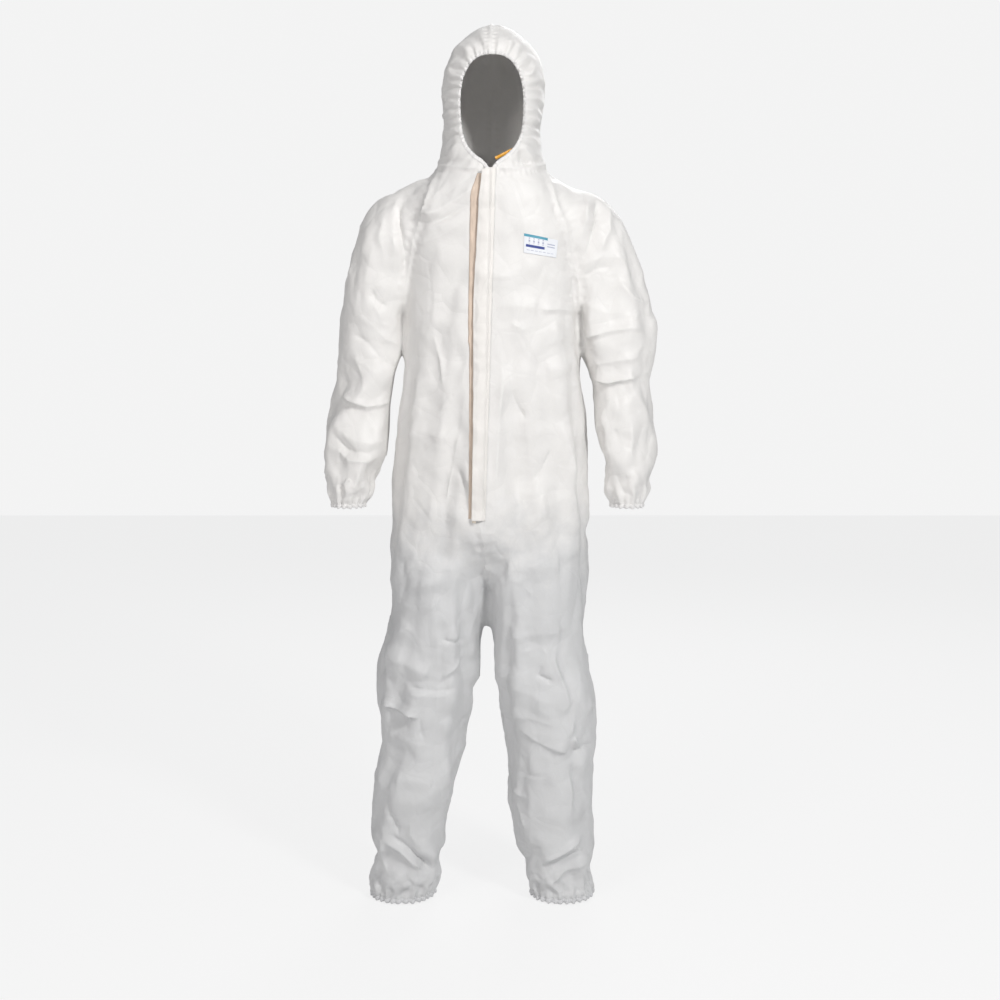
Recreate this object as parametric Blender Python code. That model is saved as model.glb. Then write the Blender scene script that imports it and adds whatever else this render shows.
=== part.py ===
"""Hooded disposable coverall (chemical protective suit), as it stands when worn.

Frame: +Z up, the wearer faces -Y, the wearer's right is -X. The origin is the middle of the
neck base, between the shoulders, where the wearer or a hanger carries the suit. Heights in the
tables below are measured above HEM_DATUM and moved down by NECK_HEIGHT at the end, by the
empty that everything is parented to.

Each fabric panel is a 2 mm stand-in for 0.4 mm nonwoven: lofted outer body minus the same
loft drawn in by WALL, cut along the real seams.
"""
import math

import bmesh
import bpy
import numpy as np
from mathutils import Matrix, Vector

# ---------------------------------------------------------------- driving dimensions (metres)
NECK_HEIGHT = 1.480        # neck base above the hem datum
WALL = 0.002               # thickness of the fabric stand-in
SEAM = 0.00025             # half the gap between two panels that are sewn together
TORSO_SEGMENTS, LEG_SEGMENTS, SLEEVE_SEGMENTS = 32, 22, 20

HEM_Z = 0.030              # lower end of the legs' fabric
ANKLE_BAND = 0.010         # height of the ankle elastic
CUFF_Z = 0.842             # lower end of the sleeves' fabric
CUFF_BAND = 0.009          # height of the cuff elastic
ELBOW_Z, KNEE_Z = 1.060, 0.420
SIDE_SEAM_Y = 0.004        # side seams and leg seams lie in this plane
NECK_FRONT, NECK_BACK = (-0.128, 1.492), (0.085, 1.525)   # (y, z) of the neck seam
RAGLAN_NECK, RAGLAN_ARMPIT = (0.1035, 1.500), (0.1800, 1.262)  # (|x|, z) of the raglan seam
FACE_BAND = 0.008          # width of the hood's elastic edge

ZIP_BOTTOM, ZIP_TOP = (-0.0262, 0.830), (-0.0062, 1.486)  # (x, z) of the zip's ends
ZIP_SLOT = 0.0095          # half the width between the front panels' edges
FLAP_FREE, FLAP_HINGE = -0.0185, 0.0140                   # flap edges, across the zip
WAIST_Z, WAIST_BAND = 0.965, 0.024

FRONT_Z0, FRONT_Y0, FRONT_SLOPE = 0.80, -0.150, 0.0317


def front_y(z):
    """The centre front is a straight line, so that the zip lies straight."""
    return FRONT_Y0 + (z - FRONT_Z0) * FRONT_SLOPE


# Torso and hood sections: z, centre x, half width, front y, back y, exponent
TORSO = [
    (0.722, -0.008, 0.055, -0.040, 0.055, 2.0),
    (0.734, -0.008, 0.120, -0.095, 0.100, 2.1),
    (0.765, -0.006, 0.185, -0.135, 0.128, 2.3),
    (0.800, -0.002, 0.205, front_y(0.80), 0.138, 2.5),
    (0.880, 0.000, 0.2055, front_y(0.88), 0.140, 2.6),
    (0.965, 0.000, 0.2010, front_y(0.965), 0.130, 2.6),
    (1.040, 0.000, 0.1960, front_y(1.04), 0.132, 2.6),
    (1.120, 0.000, 0.1800, front_y(1.12), 0.136, 2.6),
    (1.220, 0.000, 0.1740, front_y(1.22), 0.138, 2.6),
    (1.320, 0.000, 0.1800, front_y(1.32), 0.138, 2.6),
    (1.390, 0.000, 0.1860, front_y(1.39), 0.134, 2.6),
    (1.430, 0.000, 0.1700, front_y(1.43), 0.124, 2.5),
    (1.462, 0.000, 0.1360, front_y(1.462), 0.108, 2.4),
    (1.486, 0.000, 0.1120, front_y(1.486), 0.095, 2.3),
    (1.510, 0.000, 0.1030, -0.1250, 0.088, 2.2),
    (1.550, 0.000, 0.0950, -0.1220, 0.100, 2.2),
    (1.590, 0.002, 0.0950, -0.120, 0.120, 2.2),
    (1.630, 0.004, 0.1000, -0.117, 0.134, 2.2),
    (1.660, 0.004, 0.1010, -0.114, 0.140, 2.2),
    (1.695, 0.004, 0.0950, -0.108, 0.136, 2.15),
    (1.730, 0.004, 0.0770, -0.092, 0.116, 2.1),
    (1.757, 0.004, 0.0480, -0.062, 0.085, 2.0),
    (1.772, 0.004, 0.0200, -0.022, 0.045, 2.0),
]
# Legs: z, centre x, centre y, half width, half depth
LEGS = {
    "right": [
        (0.860, -0.100, -0.004, 0.092, 0.118),
        (0.800, -0.106, -0.004, 0.100, 0.124),
        (0.760, -0.110, -0.004, 0.0990, 0.124),
        (0.700, -0.1110, -0.004, 0.1000, 0.121),
        (0.640, -0.1090, -0.003, 0.0965, 0.116),
        (0.580, -0.1165, -0.002, 0.1010, 0.112),
        (0.520, -0.1290, -0.002, 0.1060, 0.107),
        (0.460, -0.1370, -0.002, 0.1015, 0.101),
        (0.400, -0.1400, 0.000, 0.0940, 0.096),
        (0.330, -0.1460, 0.003, 0.0870, 0.093),
        (0.260, -0.1600, 0.006, 0.0850, 0.090),
        (0.180, -0.1715, 0.008, 0.0780, 0.086),
        (0.110, -0.1765, 0.008, 0.0765, 0.082),
        (0.060, -0.1845, 0.006, 0.0755, 0.078),
        (HEM_Z, -0.1860, 0.005, 0.0670, 0.070),
    ],
    "left": [
        (0.860, 0.092, -0.004, 0.090, 0.118),
        (0.800, 0.098, -0.004, 0.098, 0.124),
        (0.760, 0.1000, -0.004, 0.1010, 0.124),
        (0.700, 0.0980, -0.004, 0.1010, 0.121),
        (0.640, 0.0925, -0.003, 0.0960, 0.116),
        (0.580, 0.0915, -0.002, 0.0935, 0.112),
        (0.520, 0.0985, -0.002, 0.0935, 0.107),
        (0.460, 0.1120, -0.002, 0.0960, 0.101),
        (0.400, 0.1190, 0.000, 0.0950, 0.096),
        (0.330, 0.1210, 0.003, 0.0880, 0.093),
        (0.260, 0.1175, 0.006, 0.0880, 0.090),
        (0.180, 0.1220, 0.008, 0.0860, 0.086),
        (0.110, 0.1310, 0.008, 0.0785, 0.082),
        (0.060, 0.1385, 0.006, 0.0725, 0.078),
        (HEM_Z, 0.1440, 0.005, 0.0660, 0.070),
    ],
}
# Sleeves: centre x, y, z, radius across, radius front to back
SLEEVES = {
    "right": [
        (-0.050, 0.000, 1.395, 0.060, 0.085),
        (-0.128, 0.000, 1.372, 0.077, 0.092),
        (-0.195, 0.000, 1.325, 0.079, 0.090),
        (-0.2345, 0.000, 1.250, 0.065, 0.083),
        (-0.2490, -0.001, 1.165, 0.0600, 0.075),
        (-0.2580, -0.003, 1.095, 0.0560, 0.070),
        (-0.2645, -0.006, 1.045, 0.0585, 0.068),
        (-0.2705, -0.013, 0.985, 0.0640, 0.069),
        (-0.2770, -0.022, 0.930, 0.0615, 0.066),
        (-0.2825, -0.030, 0.885, 0.0530, 0.059),
        (-0.2865, -0.035, 0.858, 0.0420, 0.048),
        (-0.2885, -0.037, CUFF_Z, 0.0315, 0.037),
    ],
    "left": [
        (0.050, 0.000, 1.395, 0.060, 0.085),
        (0.128, 0.000, 1.372, 0.077, 0.092),
        (0.195, 0.000, 1.325, 0.080, 0.090),
        (0.2380, 0.000, 1.250, 0.068, 0.083),
        (0.2560, -0.001, 1.165, 0.0680, 0.077),
        (0.2600, -0.003, 1.110, 0.0610, 0.072),
        (0.2650, -0.006, 1.065, 0.0540, 0.067),
        (0.2710, -0.013, 1.005, 0.0550, 0.066),
        (0.2770, -0.022, 0.945, 0.0535, 0.064),
        (0.2740, -0.030, 0.895, 0.0480, 0.057),
        (0.2690, -0.035, 0.862, 0.0400, 0.047),
        (0.2690, -0.037, CUFF_Z, 0.0315, 0.037),
    ],
}
# Face opening of the hood, right half, from the V at the chin to the forehead: x, z
FACE = [(0.0, 1.478), (0.016, 1.500), (0.034, 1.514), (0.049, 1.534), (0.057, 1.562), (0.0605, 1.598), (0.0600, 1.634),
        (0.0540, 1.664), (0.0405, 1.688), (0.0215, 1.701), (0.0, 1.704)]
FACE_CENTRE = (-0.002, 1.605)

COLOURS = {
    "nonwoven": (0.86, 0.86, 0.85, 0.62, 0.0),
    "elastic": (0.90, 0.90, 0.89, 0.70, 0.0),
    "zip_tape": (0.84, 0.78, 0.70, 0.75, 0.0),
    "zip_coil": (0.90, 0.88, 0.84, 0.35, 0.0),
    "zip_metal": (0.80, 0.80, 0.80, 0.30, 1.0),
    "liner_beige": (0.80, 0.66, 0.52, 0.55, 0.0),
    "liner_orange": (0.90, 0.52, 0.08, 0.45, 0.0),
    "label": (0.92, 0.93, 0.96, 0.50, 0.0),
}


# ---------------------------------------------------------------- helpers
def clear():
    for o in list(bpy.data.objects):
        bpy.data.objects.remove(o, do_unlink=True)


def material(name):
    found = bpy.data.materials.get(name)
    if found:
        return found
    r, g, b, rough, metal = COLOURS[name]
    m = bpy.data.materials.new(name)
    m.use_nodes = True
    shader = m.node_tree.nodes["Principled BSDF"]
    shader.inputs["Base Color"].default_value = (r, g, b, 1)
    shader.inputs["Roughness"].default_value = rough
    shader.inputs["Metallic"].default_value = metal
    return m


def new_object(name, bm, helper=True):
    bmesh.ops.recalc_face_normals(bm, faces=bm.faces)
    mesh = bpy.data.meshes.new(name)
    bm.to_mesh(mesh)
    bm.free()
    o = bpy.data.objects.new(name, mesh)
    bpy.context.scene.collection.objects.link(o)
    if helper:
        o.hide_render = True
        o.display_type = "WIRE"
    return o


def loft(name, rings):
    """A closed loft through rings of equal length."""
    bm = bmesh.new()
    rows = [[bm.verts.new(p) for p in ring] for ring in rings]
    n = len(rows[0])
    for a, b in zip(rows, rows[1:]):
        for i in range(n):
            bm.faces.new((a[i], a[(i + 1) % n], b[(i + 1) % n], b[i]))
    bm.faces.new(rows[0][::-1])
    bm.faces.new(rows[-1])
    return new_object(name, bm)


def prism(name, outline, y0, y1):
    """A polygon in XZ carried along Y."""
    bm = bmesh.new()
    a = [bm.verts.new((x, y0, z)) for x, z in outline]
    b = [bm.verts.new((x, y1, z)) for x, z in outline]
    n = len(a)
    for i in range(n):
        bm.faces.new((a[i], a[(i + 1) % n], b[(i + 1) % n], b[i]))
    bm.faces.new(a[::-1])
    bm.faces.new(b)
    return new_object(name, bm)


def box(name, low, high, helper=True):
    bm = bmesh.new()
    bmesh.ops.create_cube(bm, size=1)
    for v in bm.verts:
        v.co = Vector([low[k] + (v.co[k] + 0.5) * (high[k] - low[k]) for k in range(3)])
    return new_object(name, bm, helper)


def boolean(target, other, operation):
    """target's mesh becomes target (operation) other."""
    m = target.modifiers.new("cut", "BOOLEAN")
    m.operation = operation
    m.solver = "EXACT"
    m.object = other
    bpy.context.view_layer.update()
    graph = bpy.context.evaluated_depsgraph_get()
    made = bpy.data.meshes.new_from_object(target.evaluated_get(graph))
    target.modifiers.clear()
    old = target.data
    target.data = made
    bpy.data.meshes.remove(old)
    return target


def copy(o, name):
    c = o.copy()
    c.data = o.data.copy()
    c.name = name
    bpy.context.scene.collection.objects.link(c)
    return c


def piece(source, name, keep=(), drop=()):
    """A copy of source, cut down to what lies in every keep and in no drop."""
    o = copy(source, name)
    for k in keep:
        boolean(o, k, "INTERSECT")
    for d in drop:
        boolean(o, d, "DIFFERENCE")
    return o


def tidy(o):
    bm = bmesh.new()
    bm.from_mesh(o.data)
    bmesh.ops.remove_doubles(bm, verts=bm.verts, dist=1e-6)
    bmesh.ops.triangulate(bm, faces=[f for f in bm.faces if len(f.verts) > 4])
    bm.to_mesh(o.data)
    bm.free()


def finish(o, slot, root, smooth=True, angle=35):
    tidy(o)
    o.hide_render = False
    o.display_type = "TEXTURED"
    o.data.materials.clear()
    o.data.materials.append(material(slot))
    if smooth:
        o.data.shade_smooth()
        o.data.set_sharp_from_angle(angle=math.radians(angle))
    o.parent = root
    return o


# ---------------------------------------------------------------- sections
def torso_ring(z, cx, a, yf, yb, n, inset, segments=TORSO_SEGMENTS):
    mid = (yf + yb) / 2 + 0.008
    ring = []
    for i in range(segments):
        t = 2 * math.pi * (i + 0.5) / segments
        c, s = math.cos(t), math.sin(t)
        x = cx + (a - inset) * math.copysign(abs(c) ** (2 / n), c)
        depth = (mid - yf if s < 0 else yb - mid) - inset
        ring.append((x, mid + depth * math.copysign(abs(s) ** (2 / n), s), z))
    return ring


def torso_rings(inset):
    rows = [torso_ring(*r, inset) for r in TORSO]
    if inset:
        low, high = TORSO[0], TORSO[-1]
        rows[0] = torso_ring(low[0] + inset, *low[1:], inset)
        rows[-1] = torso_ring(high[0] - inset, *high[1:], inset)
    return rows


def leg_rings(side, inset, extra=0.0):
    rows = []
    table = LEGS[side]
    for k, (z, cx, cy, rx, ry) in enumerate(table):
        if k == 0:
            z -= inset
        rows.append([(cx + (rx - inset) * math.cos(t), cy + (ry - inset) * math.sin(t), z)
                     for t in (2 * math.pi * (i + 0.5) / LEG_SEGMENTS for i in range(LEG_SEGMENTS))])
    if extra:
        rows.append([(x, y, z - extra) for x, y, z in rows[-1]])
    return rows


def sleeve_rings(side, inset, extra=0.0, first=0):
    table = SLEEVES[side]
    rows = []
    for k in range(first, len(table)):
        x, y, z, r1, r2 = table[k]
        a = table[max(k - 1, 0)]
        b = table[min(k + 1, len(table) - 1)]
        along = Vector((b[0] - a[0], 0, b[2] - a[2])).normalized()
        if k >= len(table) - 2:
            along = Vector((0, 0, -1))
        across = Vector((along.z, 0, -along.x))
        centre = Vector((x, y, z))
        rows.append([centre + across * ((r1 - inset) * math.cos(t)) + Vector((0, 1, 0)) * ((r2 - inset) * math.sin(t))
                     for t in (2 * math.pi * (i + 0.5) / SLEEVE_SEGMENTS for i in range(SLEEVE_SEGMENTS))])
    if extra:
        rows.append([p + Vector((0, 0, -extra)) for p in rows[-1]])
    return rows


def body_volume(name, inset, extra):
    o = loft(name, torso_rings(inset))
    for side in ("right", "left"):
        boolean(o, loft(f"{name}_leg_{side}", leg_rings(side, inset, extra)), "UNION")
        boolean(o, loft(f"{name}_sleeve_{side}", sleeve_rings(side, inset, extra)), "UNION")
    return o


def smooth_closed(points, count):
    """A closed Catmull-Rom curve through 2-D points, sampled evenly in its own parameter."""
    p = np.array(points, float)
    n = len(p)
    out = []
    for k in range(count):
        u = k / count * n
        i, f = int(u), u - int(u)
        p0, p1, p2, p3 = p[(i - 1) % n], p[i % n], p[(i + 1) % n], p[(i + 2) % n]
        out.append(tuple(0.5 * (2 * p1 + (p2 - p0) * f + (2 * p0 - 5 * p1 + 4 * p2 - p3) * f * f
                                + (3 * p1 - p0 - 3 * p2 + p3) * f ** 3)))
    return out


def face_outline(grow):
    """The face opening's outline, grown by this much, as points (x, z)."""
    half = [(x + 0.0, z) for x, z in FACE]
    whole = half + [(-x, z) for x, z in reversed(half[1:-1])]
    cx, cz = FACE_CENTRE
    out = []
    for i, (x, z) in enumerate(whole):
        a, b = np.array(whole[i - 1]), np.array(whole[(i + 1) % len(whole)])
        d = (b - a) / np.linalg.norm(b - a)
        normal = np.array([d[1], -d[0]])
        if normal @ (np.array([x, z]) - np.array([0, cz])) < 0:
            normal = -normal
        out.append((x + cx + normal[0] * grow, z + normal[1] * grow))
    return out


# ---------------------------------------------------------------- the suit
def build():
    clear()
    root = bpy.data.objects.new("neck_origin", None)
    bpy.context.scene.collection.objects.link(root)
    root.location = (0, 0, -NECK_HEIGHT)

    outer = body_volume("body_outer", 0.0, 0.0)
    inner = body_volume("body_inner", WALL, 0.02)
    shell = piece(outer, "body_shell", drop=[inner])

    # cutters
    fy, fz = NECK_FRONT
    by, bz = NECK_BACK
    tilt = math.atan2(bz - fz, by - fy)

    def neck_cutter(name, above, gap):
        o = box(name, (-0.6, -0.6, gap if above else -2.0), (0.6, 0.6, 1.0 if above else -gap))
        o.data.transform(Matrix.Translation((0, fy, fz)) @ Matrix.Rotation(tilt, 4, "X"))
        return o

    above_neck = neck_cutter("above_neck", True, SEAM)
    below_neck = neck_cutter("below_neck", False, SEAM)

    def sleeve_cutter(name, side, grow):
        s = -1 if side == "right" else 1
        (nx, nz), (ax, az) = RAGLAN_NECK, RAGLAN_ARMPIT
        # below the armpit the line runs down the gap between body and sleeve
        line = [(nx - 0.0265, nz + 0.08), (nx, nz), (ax, az), (0.1815, 1.215), (0.1830, 1.165), (0.1905, 1.110), (0.2010, 1.040),
                (0.2035, 0.990), (0.2095, 0.900), (0.2095, 0.780)]
        outline = [(s * (x + grow), z) for x, z in line] + [(s * 0.6, 0.78), (s * 0.6, nz + 0.08)]
        return prism(name, outline, -0.4, 0.4)

    def half_cutter(name, side, grow):
        """Everything on one side of the centre line: zip line, then the crotch, then between the legs."""
        s = -1 if side == "right" else 1
        (x0, z0), (x1, z1) = ZIP_BOTTOM, ZIP_TOP
        k = (x1 - x0) / (z1 - z0)
        line = [(x1 + k * 0.02, z1 + 0.02), (x0, z0), (-0.0170, 0.780), (-0.0100, 0.730), (-0.0100, -0.1)]
        top = [(-0.002, 2.0), (-0.002, 1.535)]
        outline = [(x + s * grow, z) for x, z in top + line]
        far = s * 0.7
        return prism(name, outline + [(far, -0.1), (far, 2.0)], -0.5, 0.5)

    halves = {side: half_cutter(f"half_{side}", side, SEAM) for side in ("right", "left")}
    front_half = box("front_half", (-0.7, -0.6, -0.2), (0.7, SIDE_SEAM_Y - SEAM, 2.0))
    back_half = box("back_half", (-0.7, SIDE_SEAM_Y + SEAM, -0.2), (0.7, 0.6, 2.0))
    upper_leg = box("upper_leg", (-0.7, -0.6, KNEE_Z + SEAM), (0.7, 0.6, 2.0))
    lower_leg = box("lower_leg", (-0.7, -0.6, -0.2), (0.7, 0.6, KNEE_Z - SEAM))
    upper_arm = box("upper_arm", (-0.7, -0.6, ELBOW_Z + SEAM), (0.7, 0.6, 2.0))
    lower_arm = box("lower_arm", (-0.7, -0.6, 0.6), (0.7, 0.6, ELBOW_Z - SEAM))
    sleeve_in = {s: sleeve_cutter(f"sleeve_in_{s}", s, SEAM) for s in ("right", "left")}
    sleeve_out = {s: sleeve_cutter(f"sleeve_out_{s}", s, -SEAM) for s in ("right", "left")}

    # zip frame: local Z up the zip, local Y into the suit, local X across
    p0 = Vector((ZIP_BOTTOM[0], front_y(ZIP_BOTTOM[1]), ZIP_BOTTOM[1]))
    p1 = Vector((ZIP_TOP[0], front_y(ZIP_TOP[1]), ZIP_TOP[1]))
    up = (p1 - p0).normalized()
    inward = (Vector((0, 1, 0)) - up * up.y).normalized()
    across = inward.cross(up)
    length = (p1 - p0).length
    frame = Matrix((across, inward, up)).transposed().to_4x4()
    frame.translation = p0
    zip_empty = bpy.data.objects.new("zip_frame", None)
    bpy.context.scene.collection.objects.link(zip_empty)
    zip_empty.parent = root
    zip_empty.matrix_local = frame

    slot = box("zip_slot", (-ZIP_SLOT, -0.03, -0.006), (ZIP_SLOT, 0.03, length + 0.05))
    slot.data.transform(frame)

    # torso and thigh panels, one front and one back for each side
    no_sleeves = piece(shell, "no_sleeves", keep=[below_neck], drop=[sleeve_out["right"], sleeve_out["left"]])
    uppers = piece(no_sleeves, "uppers", keep=[upper_leg])
    lowers = piece(no_sleeves, "lowers", keep=[lower_leg])
    for side in ("right", "left"):
        finish(piece(uppers, f"front_{side}_panel", keep=[front_half, halves[side]], drop=[slot]), "nonwoven", root)
        finish(piece(uppers, f"back_{side}_panel", keep=[back_half, halves[side]]), "nonwoven", root)
        finish(piece(lowers, f"{side}_leg_lower_front", keep=[front_half, halves[side]]), "nonwoven", root)
        finish(piece(lowers, f"{side}_leg_lower_back", keep=[back_half, halves[side]]), "nonwoven", root)

    # raglan sleeves, cut at the elbow
    for side in ("right", "left"):
        sleeve = piece(shell, f"sleeve_{side}", keep=[below_neck, sleeve_in[side]])
        finish(piece(sleeve, f"{side}_sleeve_upper", keep=[upper_arm]), "nonwoven", root)
        finish(piece(sleeve, f"{side}_sleeve_lower", keep=[lower_arm]), "nonwoven", root)

    # hood: two panels and the elastic edge of the face opening
    face = prism("face_cut", face_outline(0.0), -0.30, -0.02)
    face_wide = prism("face_cut_wide", face_outline(FACE_BAND), -0.30, -0.02)
    face_in = prism("face_band", face_outline(FACE_BAND - 0.0005), -0.30, -0.02)
    hood = piece(shell, "hood_shell", keep=[above_neck])
    hood_open = piece(hood, "hood_open", drop=[face_wide])
    for side in ("right", "left"):
        finish(piece(hood_open, f"hood_{side}_panel", keep=[halves[side]]), "nonwoven", root)
    finish(piece(hood, "hood_face_elastic", keep=[face_in], drop=[face]), "elastic", root)

    # cuff and ankle elastics: short bands under the fabric's lower end
    def band(name, ring, height):
        low = [(x, y, z - 0.0003 - height) for x, y, z in ring]
        high = [(x, y, z - 0.0003) for x, y, z in ring]
        centre = Vector(np.mean(np.array(high), axis=0))
        bm = bmesh.new()

        def inwards(p, d):
            v = Vector((p[0] - centre.x, p[1] - centre.y, 0))
            return Vector(p) - v.normalized() * d
        loops = []
        for source, d in ((low, 0.0), (high, 0.0), (high, WALL), (low, WALL)):
            loops.append([bm.verts.new(inwards(p, d)) for p in source])
        n = len(low)
        for k in range(4):
            a, b = loops[k], loops[(k + 1) % 4]
            for i in range(n):
                bm.faces.new((a[i], a[(i + 1) % n], b[(i + 1) % n], b[i]))
        return new_object(name, bm)

    for side in ("right", "left"):
        finish(band(f"{side}_cuff_elastic", sleeve_rings(side, 0.0)[-1], CUFF_BAND), "elastic", root)
        finish(band(f"{side}_ankle_elastic", leg_rings(side, 0.0)[-1], ANKLE_BAND), "elastic", root)

    # waist elastic: a strip inside the back panels
    strip_out = loft("strip_out", torso_rings(WALL + 0.0004))
    strip_in = loft("strip_in", torso_rings(WALL + 0.0016))
    waist = piece(strip_out, "waist_elastic",
                  keep=[box("waist_box", (-0.16, 0.03, WAIST_Z - WAIST_BAND / 2), (0.16, 0.3, WAIST_Z + WAIST_BAND / 2))],
                  drop=[strip_in])
    finish(waist, "elastic", root)

    # chest label: a thin printed patch that follows the left chest
    label_out = loft("label_out", torso_rings(-0.0013))
    label_in = loft("label_in", torso_rings(-0.0004))
    patch = box("label_box", (-0.030, -0.2, -0.0195), (0.030, 0.0, 0.0195))
    patch.data.transform(Matrix.Translation((0.1085, 0, 1.352)) @ Matrix.Rotation(math.radians(5.0), 4, "Y"))
    finish(piece(label_out, "chest_label", keep=[patch], drop=[label_in]), "label", root)

    # ---------------- zip, in the zip frame
    def local_box(name, low, high, slot_name, smooth=False):
        o = box(name, low, high, helper=False)
        o.data.materials.append(material(slot_name))
        o.parent = zip_empty
        return o

    coil_top = length - 0.0065
    for side, s in (("right", -1), ("left", 1)):
        x = sorted((s * 0.0027, s * 0.0092))
        local_box(f"zip_tape_{side}", (x[0], 0.0004, -0.0055), (x[1], 0.0014, length - 0.001), "zip_tape")
        x = sorted((s * 0.0006, s * 0.0024))
        local_box(f"zip_coil_{side}", (x[0], -0.0006, 0.0), (x[1], 0.0018, coil_top), "zip_coil")
        local_box(f"zip_top_stop_{side}", (x[0], -0.0009, coil_top + 0.0003), (x[1], 0.0021, coil_top + 0.0035), "zip_metal")
    local_box("zip_bottom_stop", (-0.0024, -0.0010, -0.0045), (0.0024, 0.0022, -0.0004), "zip_metal")

    # slider: front and rear plates joined by the wedge that runs between the coils, and the lug that carries the tab
    slider_z = coil_top - 0.0125
    slider_bm = bmesh.new()

    def add_block(bm, low, high):
        made = bmesh.ops.create_cube(bm, size=1)
        for v in made["verts"]:
            v.co = Vector([low[k] + (v.co[k] + 0.5) * (high[k] - low[k]) for k in range(3)])

    add_block(slider_bm, (-0.0050, -0.0022, 0), (0.0050, -0.0010, 0.0115))
    slider = new_object("zip_slider", slider_bm)
    for low, high in (((-0.0050, 0.0022, 0), (0.0050, 0.0034, 0.0115)),
                      ((-0.0003, -0.0015, 0.0035), (0.0003, 0.0028, 0.0105)),
                      ((-0.0010, -0.0042, 0.0060), (0.0010, -0.0016, 0.0082)),
                      ((-0.0019, -0.0048, 0.0050), (0.0019, -0.0040, 0.0092))):
        boolean(slider, box("slider_part", low, high), "UNION")
    slider.location = (0, 0, slider_z)
    finish(slider, "zip_metal", zip_empty, smooth=False)

    # pull tab: hangs from the lug, its origin on its swing axis
    tab = box("zip_pull_tab", (-0.0034, -0.0004, -0.0235), (0.0034, 0.0004, 0.0036))
    boolean(tab, box("tab_eye", (-0.0014, -0.01, -0.0034), (0.0014, 0.01, 0.0014)), "DIFFERENCE")
    boolean(tab, box("tab_grip", (-0.0016, -0.01, -0.0195), (0.0016, 0.01, -0.0150)), "DIFFERENCE")
    tab.location = (0, -0.0031, slider_z + 0.0082)
    finish(tab, "zip_metal", zip_empty, smooth=False)

    # storm flap: an arched band over the zip, hinged on its stitched edge; its top is cut on the slant of the collar
    def arched(name, x0, x1, thick, lift, bottom, top0, top1, steps=10, base=0.0):
        bm = bmesh.new()
        rows = []
        for z_of in (lambda x: bottom, lambda x: (bottom + top0) * 0.5, lambda x: top0 + (top1 - top0) * (x - x0) / (x1 - x0)):
            ring = []
            for side_y in (0, 1):
                order = range(steps + 1) if side_y == 0 else range(steps, -1, -1)
                for i in order:
                    u = i / steps
                    x = x0 + (x1 - x0) * u
                    # free edge stands lift[0] off the panel, the stitched edge lift[2]
                    y = -(lift[0] * (1 - u) + lift[2] * u) - lift[1] * math.sin(math.pi * min(1, max(0, u))) ** 0.85
                    ring.append(bm.verts.new((x, y - base - (thick if side_y == 0 else 0.0), z_of(x))))
            rows.append(ring)
        n = len(rows[0])
        for a, b in zip(rows, rows[1:]):
            for i in range(n):
                bm.faces.new((a[i], a[(i + 1) % n], b[(i + 1) % n], b[i]))
        for ring in (rows[0][::-1], rows[-1]):
            half = n // 2
            for i in range(half - 1):
                bm.faces.new((ring[i], ring[i + 1], ring[n - 2 - i], ring[n - 1 - i]))
        return new_object(name, bm)

    flap = arched("storm_flap", FLAP_FREE, FLAP_HINGE, 0.0010, (0.0036, 0.0052, 0.0010), -0.018, length - 0.004, length + 0.010)
    finish(flap, "nonwoven", zip_empty)
    # the flap's double-sided tape follows its underside along the free edge
    def underside(x):
        u = (x - FLAP_FREE) / (FLAP_HINGE - FLAP_FREE)
        return -(0.0036 * (1 - u) + 0.0010 * u) - 0.0052 * math.sin(math.pi * u) ** 0.85

    tape_bm = bmesh.new()
    xs = [FLAP_FREE + (FLAP_HINGE - FLAP_FREE) * k / 10 for k in (0.4, 1.0, 2.0)]
    rows = []
    for z in (0.006, length - 0.012):
        rows.append([tape_bm.verts.new((x, underside(x) + 0.0007 + off, z)) for off, order in ((0.0, xs), (0.0004, xs[::-1]))
                     for x in order])
    for i in range(6):
        tape_bm.faces.new((rows[0][i], rows[0][(i + 1) % 6], rows[1][(i + 1) % 6], rows[1][i]))
    for ring in rows:
        for i in range(2):
            tape_bm.faces.new((ring[i], ring[i + 1], ring[4 - i], ring[5 - i]))
    finish(new_object("flap_adhesive_tape", tape_bm), "liner_beige", zip_empty, smooth=False)
    # its peel-off liner, on the right front panel, showing past the flap's free edge
    local_box("flap_adhesive_liner", (-0.0268, -0.0014, -0.012), (-0.0110, -0.0004, length - 0.020), "liner_beige")

    # orange liner end behind the collar, on the left of the V
    tab_o = box("chin_liner_tab", (-0.0190, -0.0005, -0.0035), (0.0190, 0.0005, 0.0035))
    tab_o.data.transform(Matrix.Translation((0.0270, -0.1065, 1.5190)) @ Matrix.Rotation(math.radians(17), 4, "Z")
                         @ Matrix.Rotation(math.radians(-27), 4, "Y"))
    finish(tab_o, "liner_orange", root, smooth=False)

    # helpers are not part of the suit
    for o in list(bpy.data.objects):
        if o.type == "MESH" and o.hide_render:
            bpy.data.objects.remove(o, do_unlink=True)


build()
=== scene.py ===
"""Hooded disposable coverall: fabric panels, gathers, seams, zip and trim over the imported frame."""

import math

import bmesh
import bpy
import numpy as np
from mathutils import Matrix, Vector, noise
from mathutils.bvhtree import BVHTree


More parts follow.
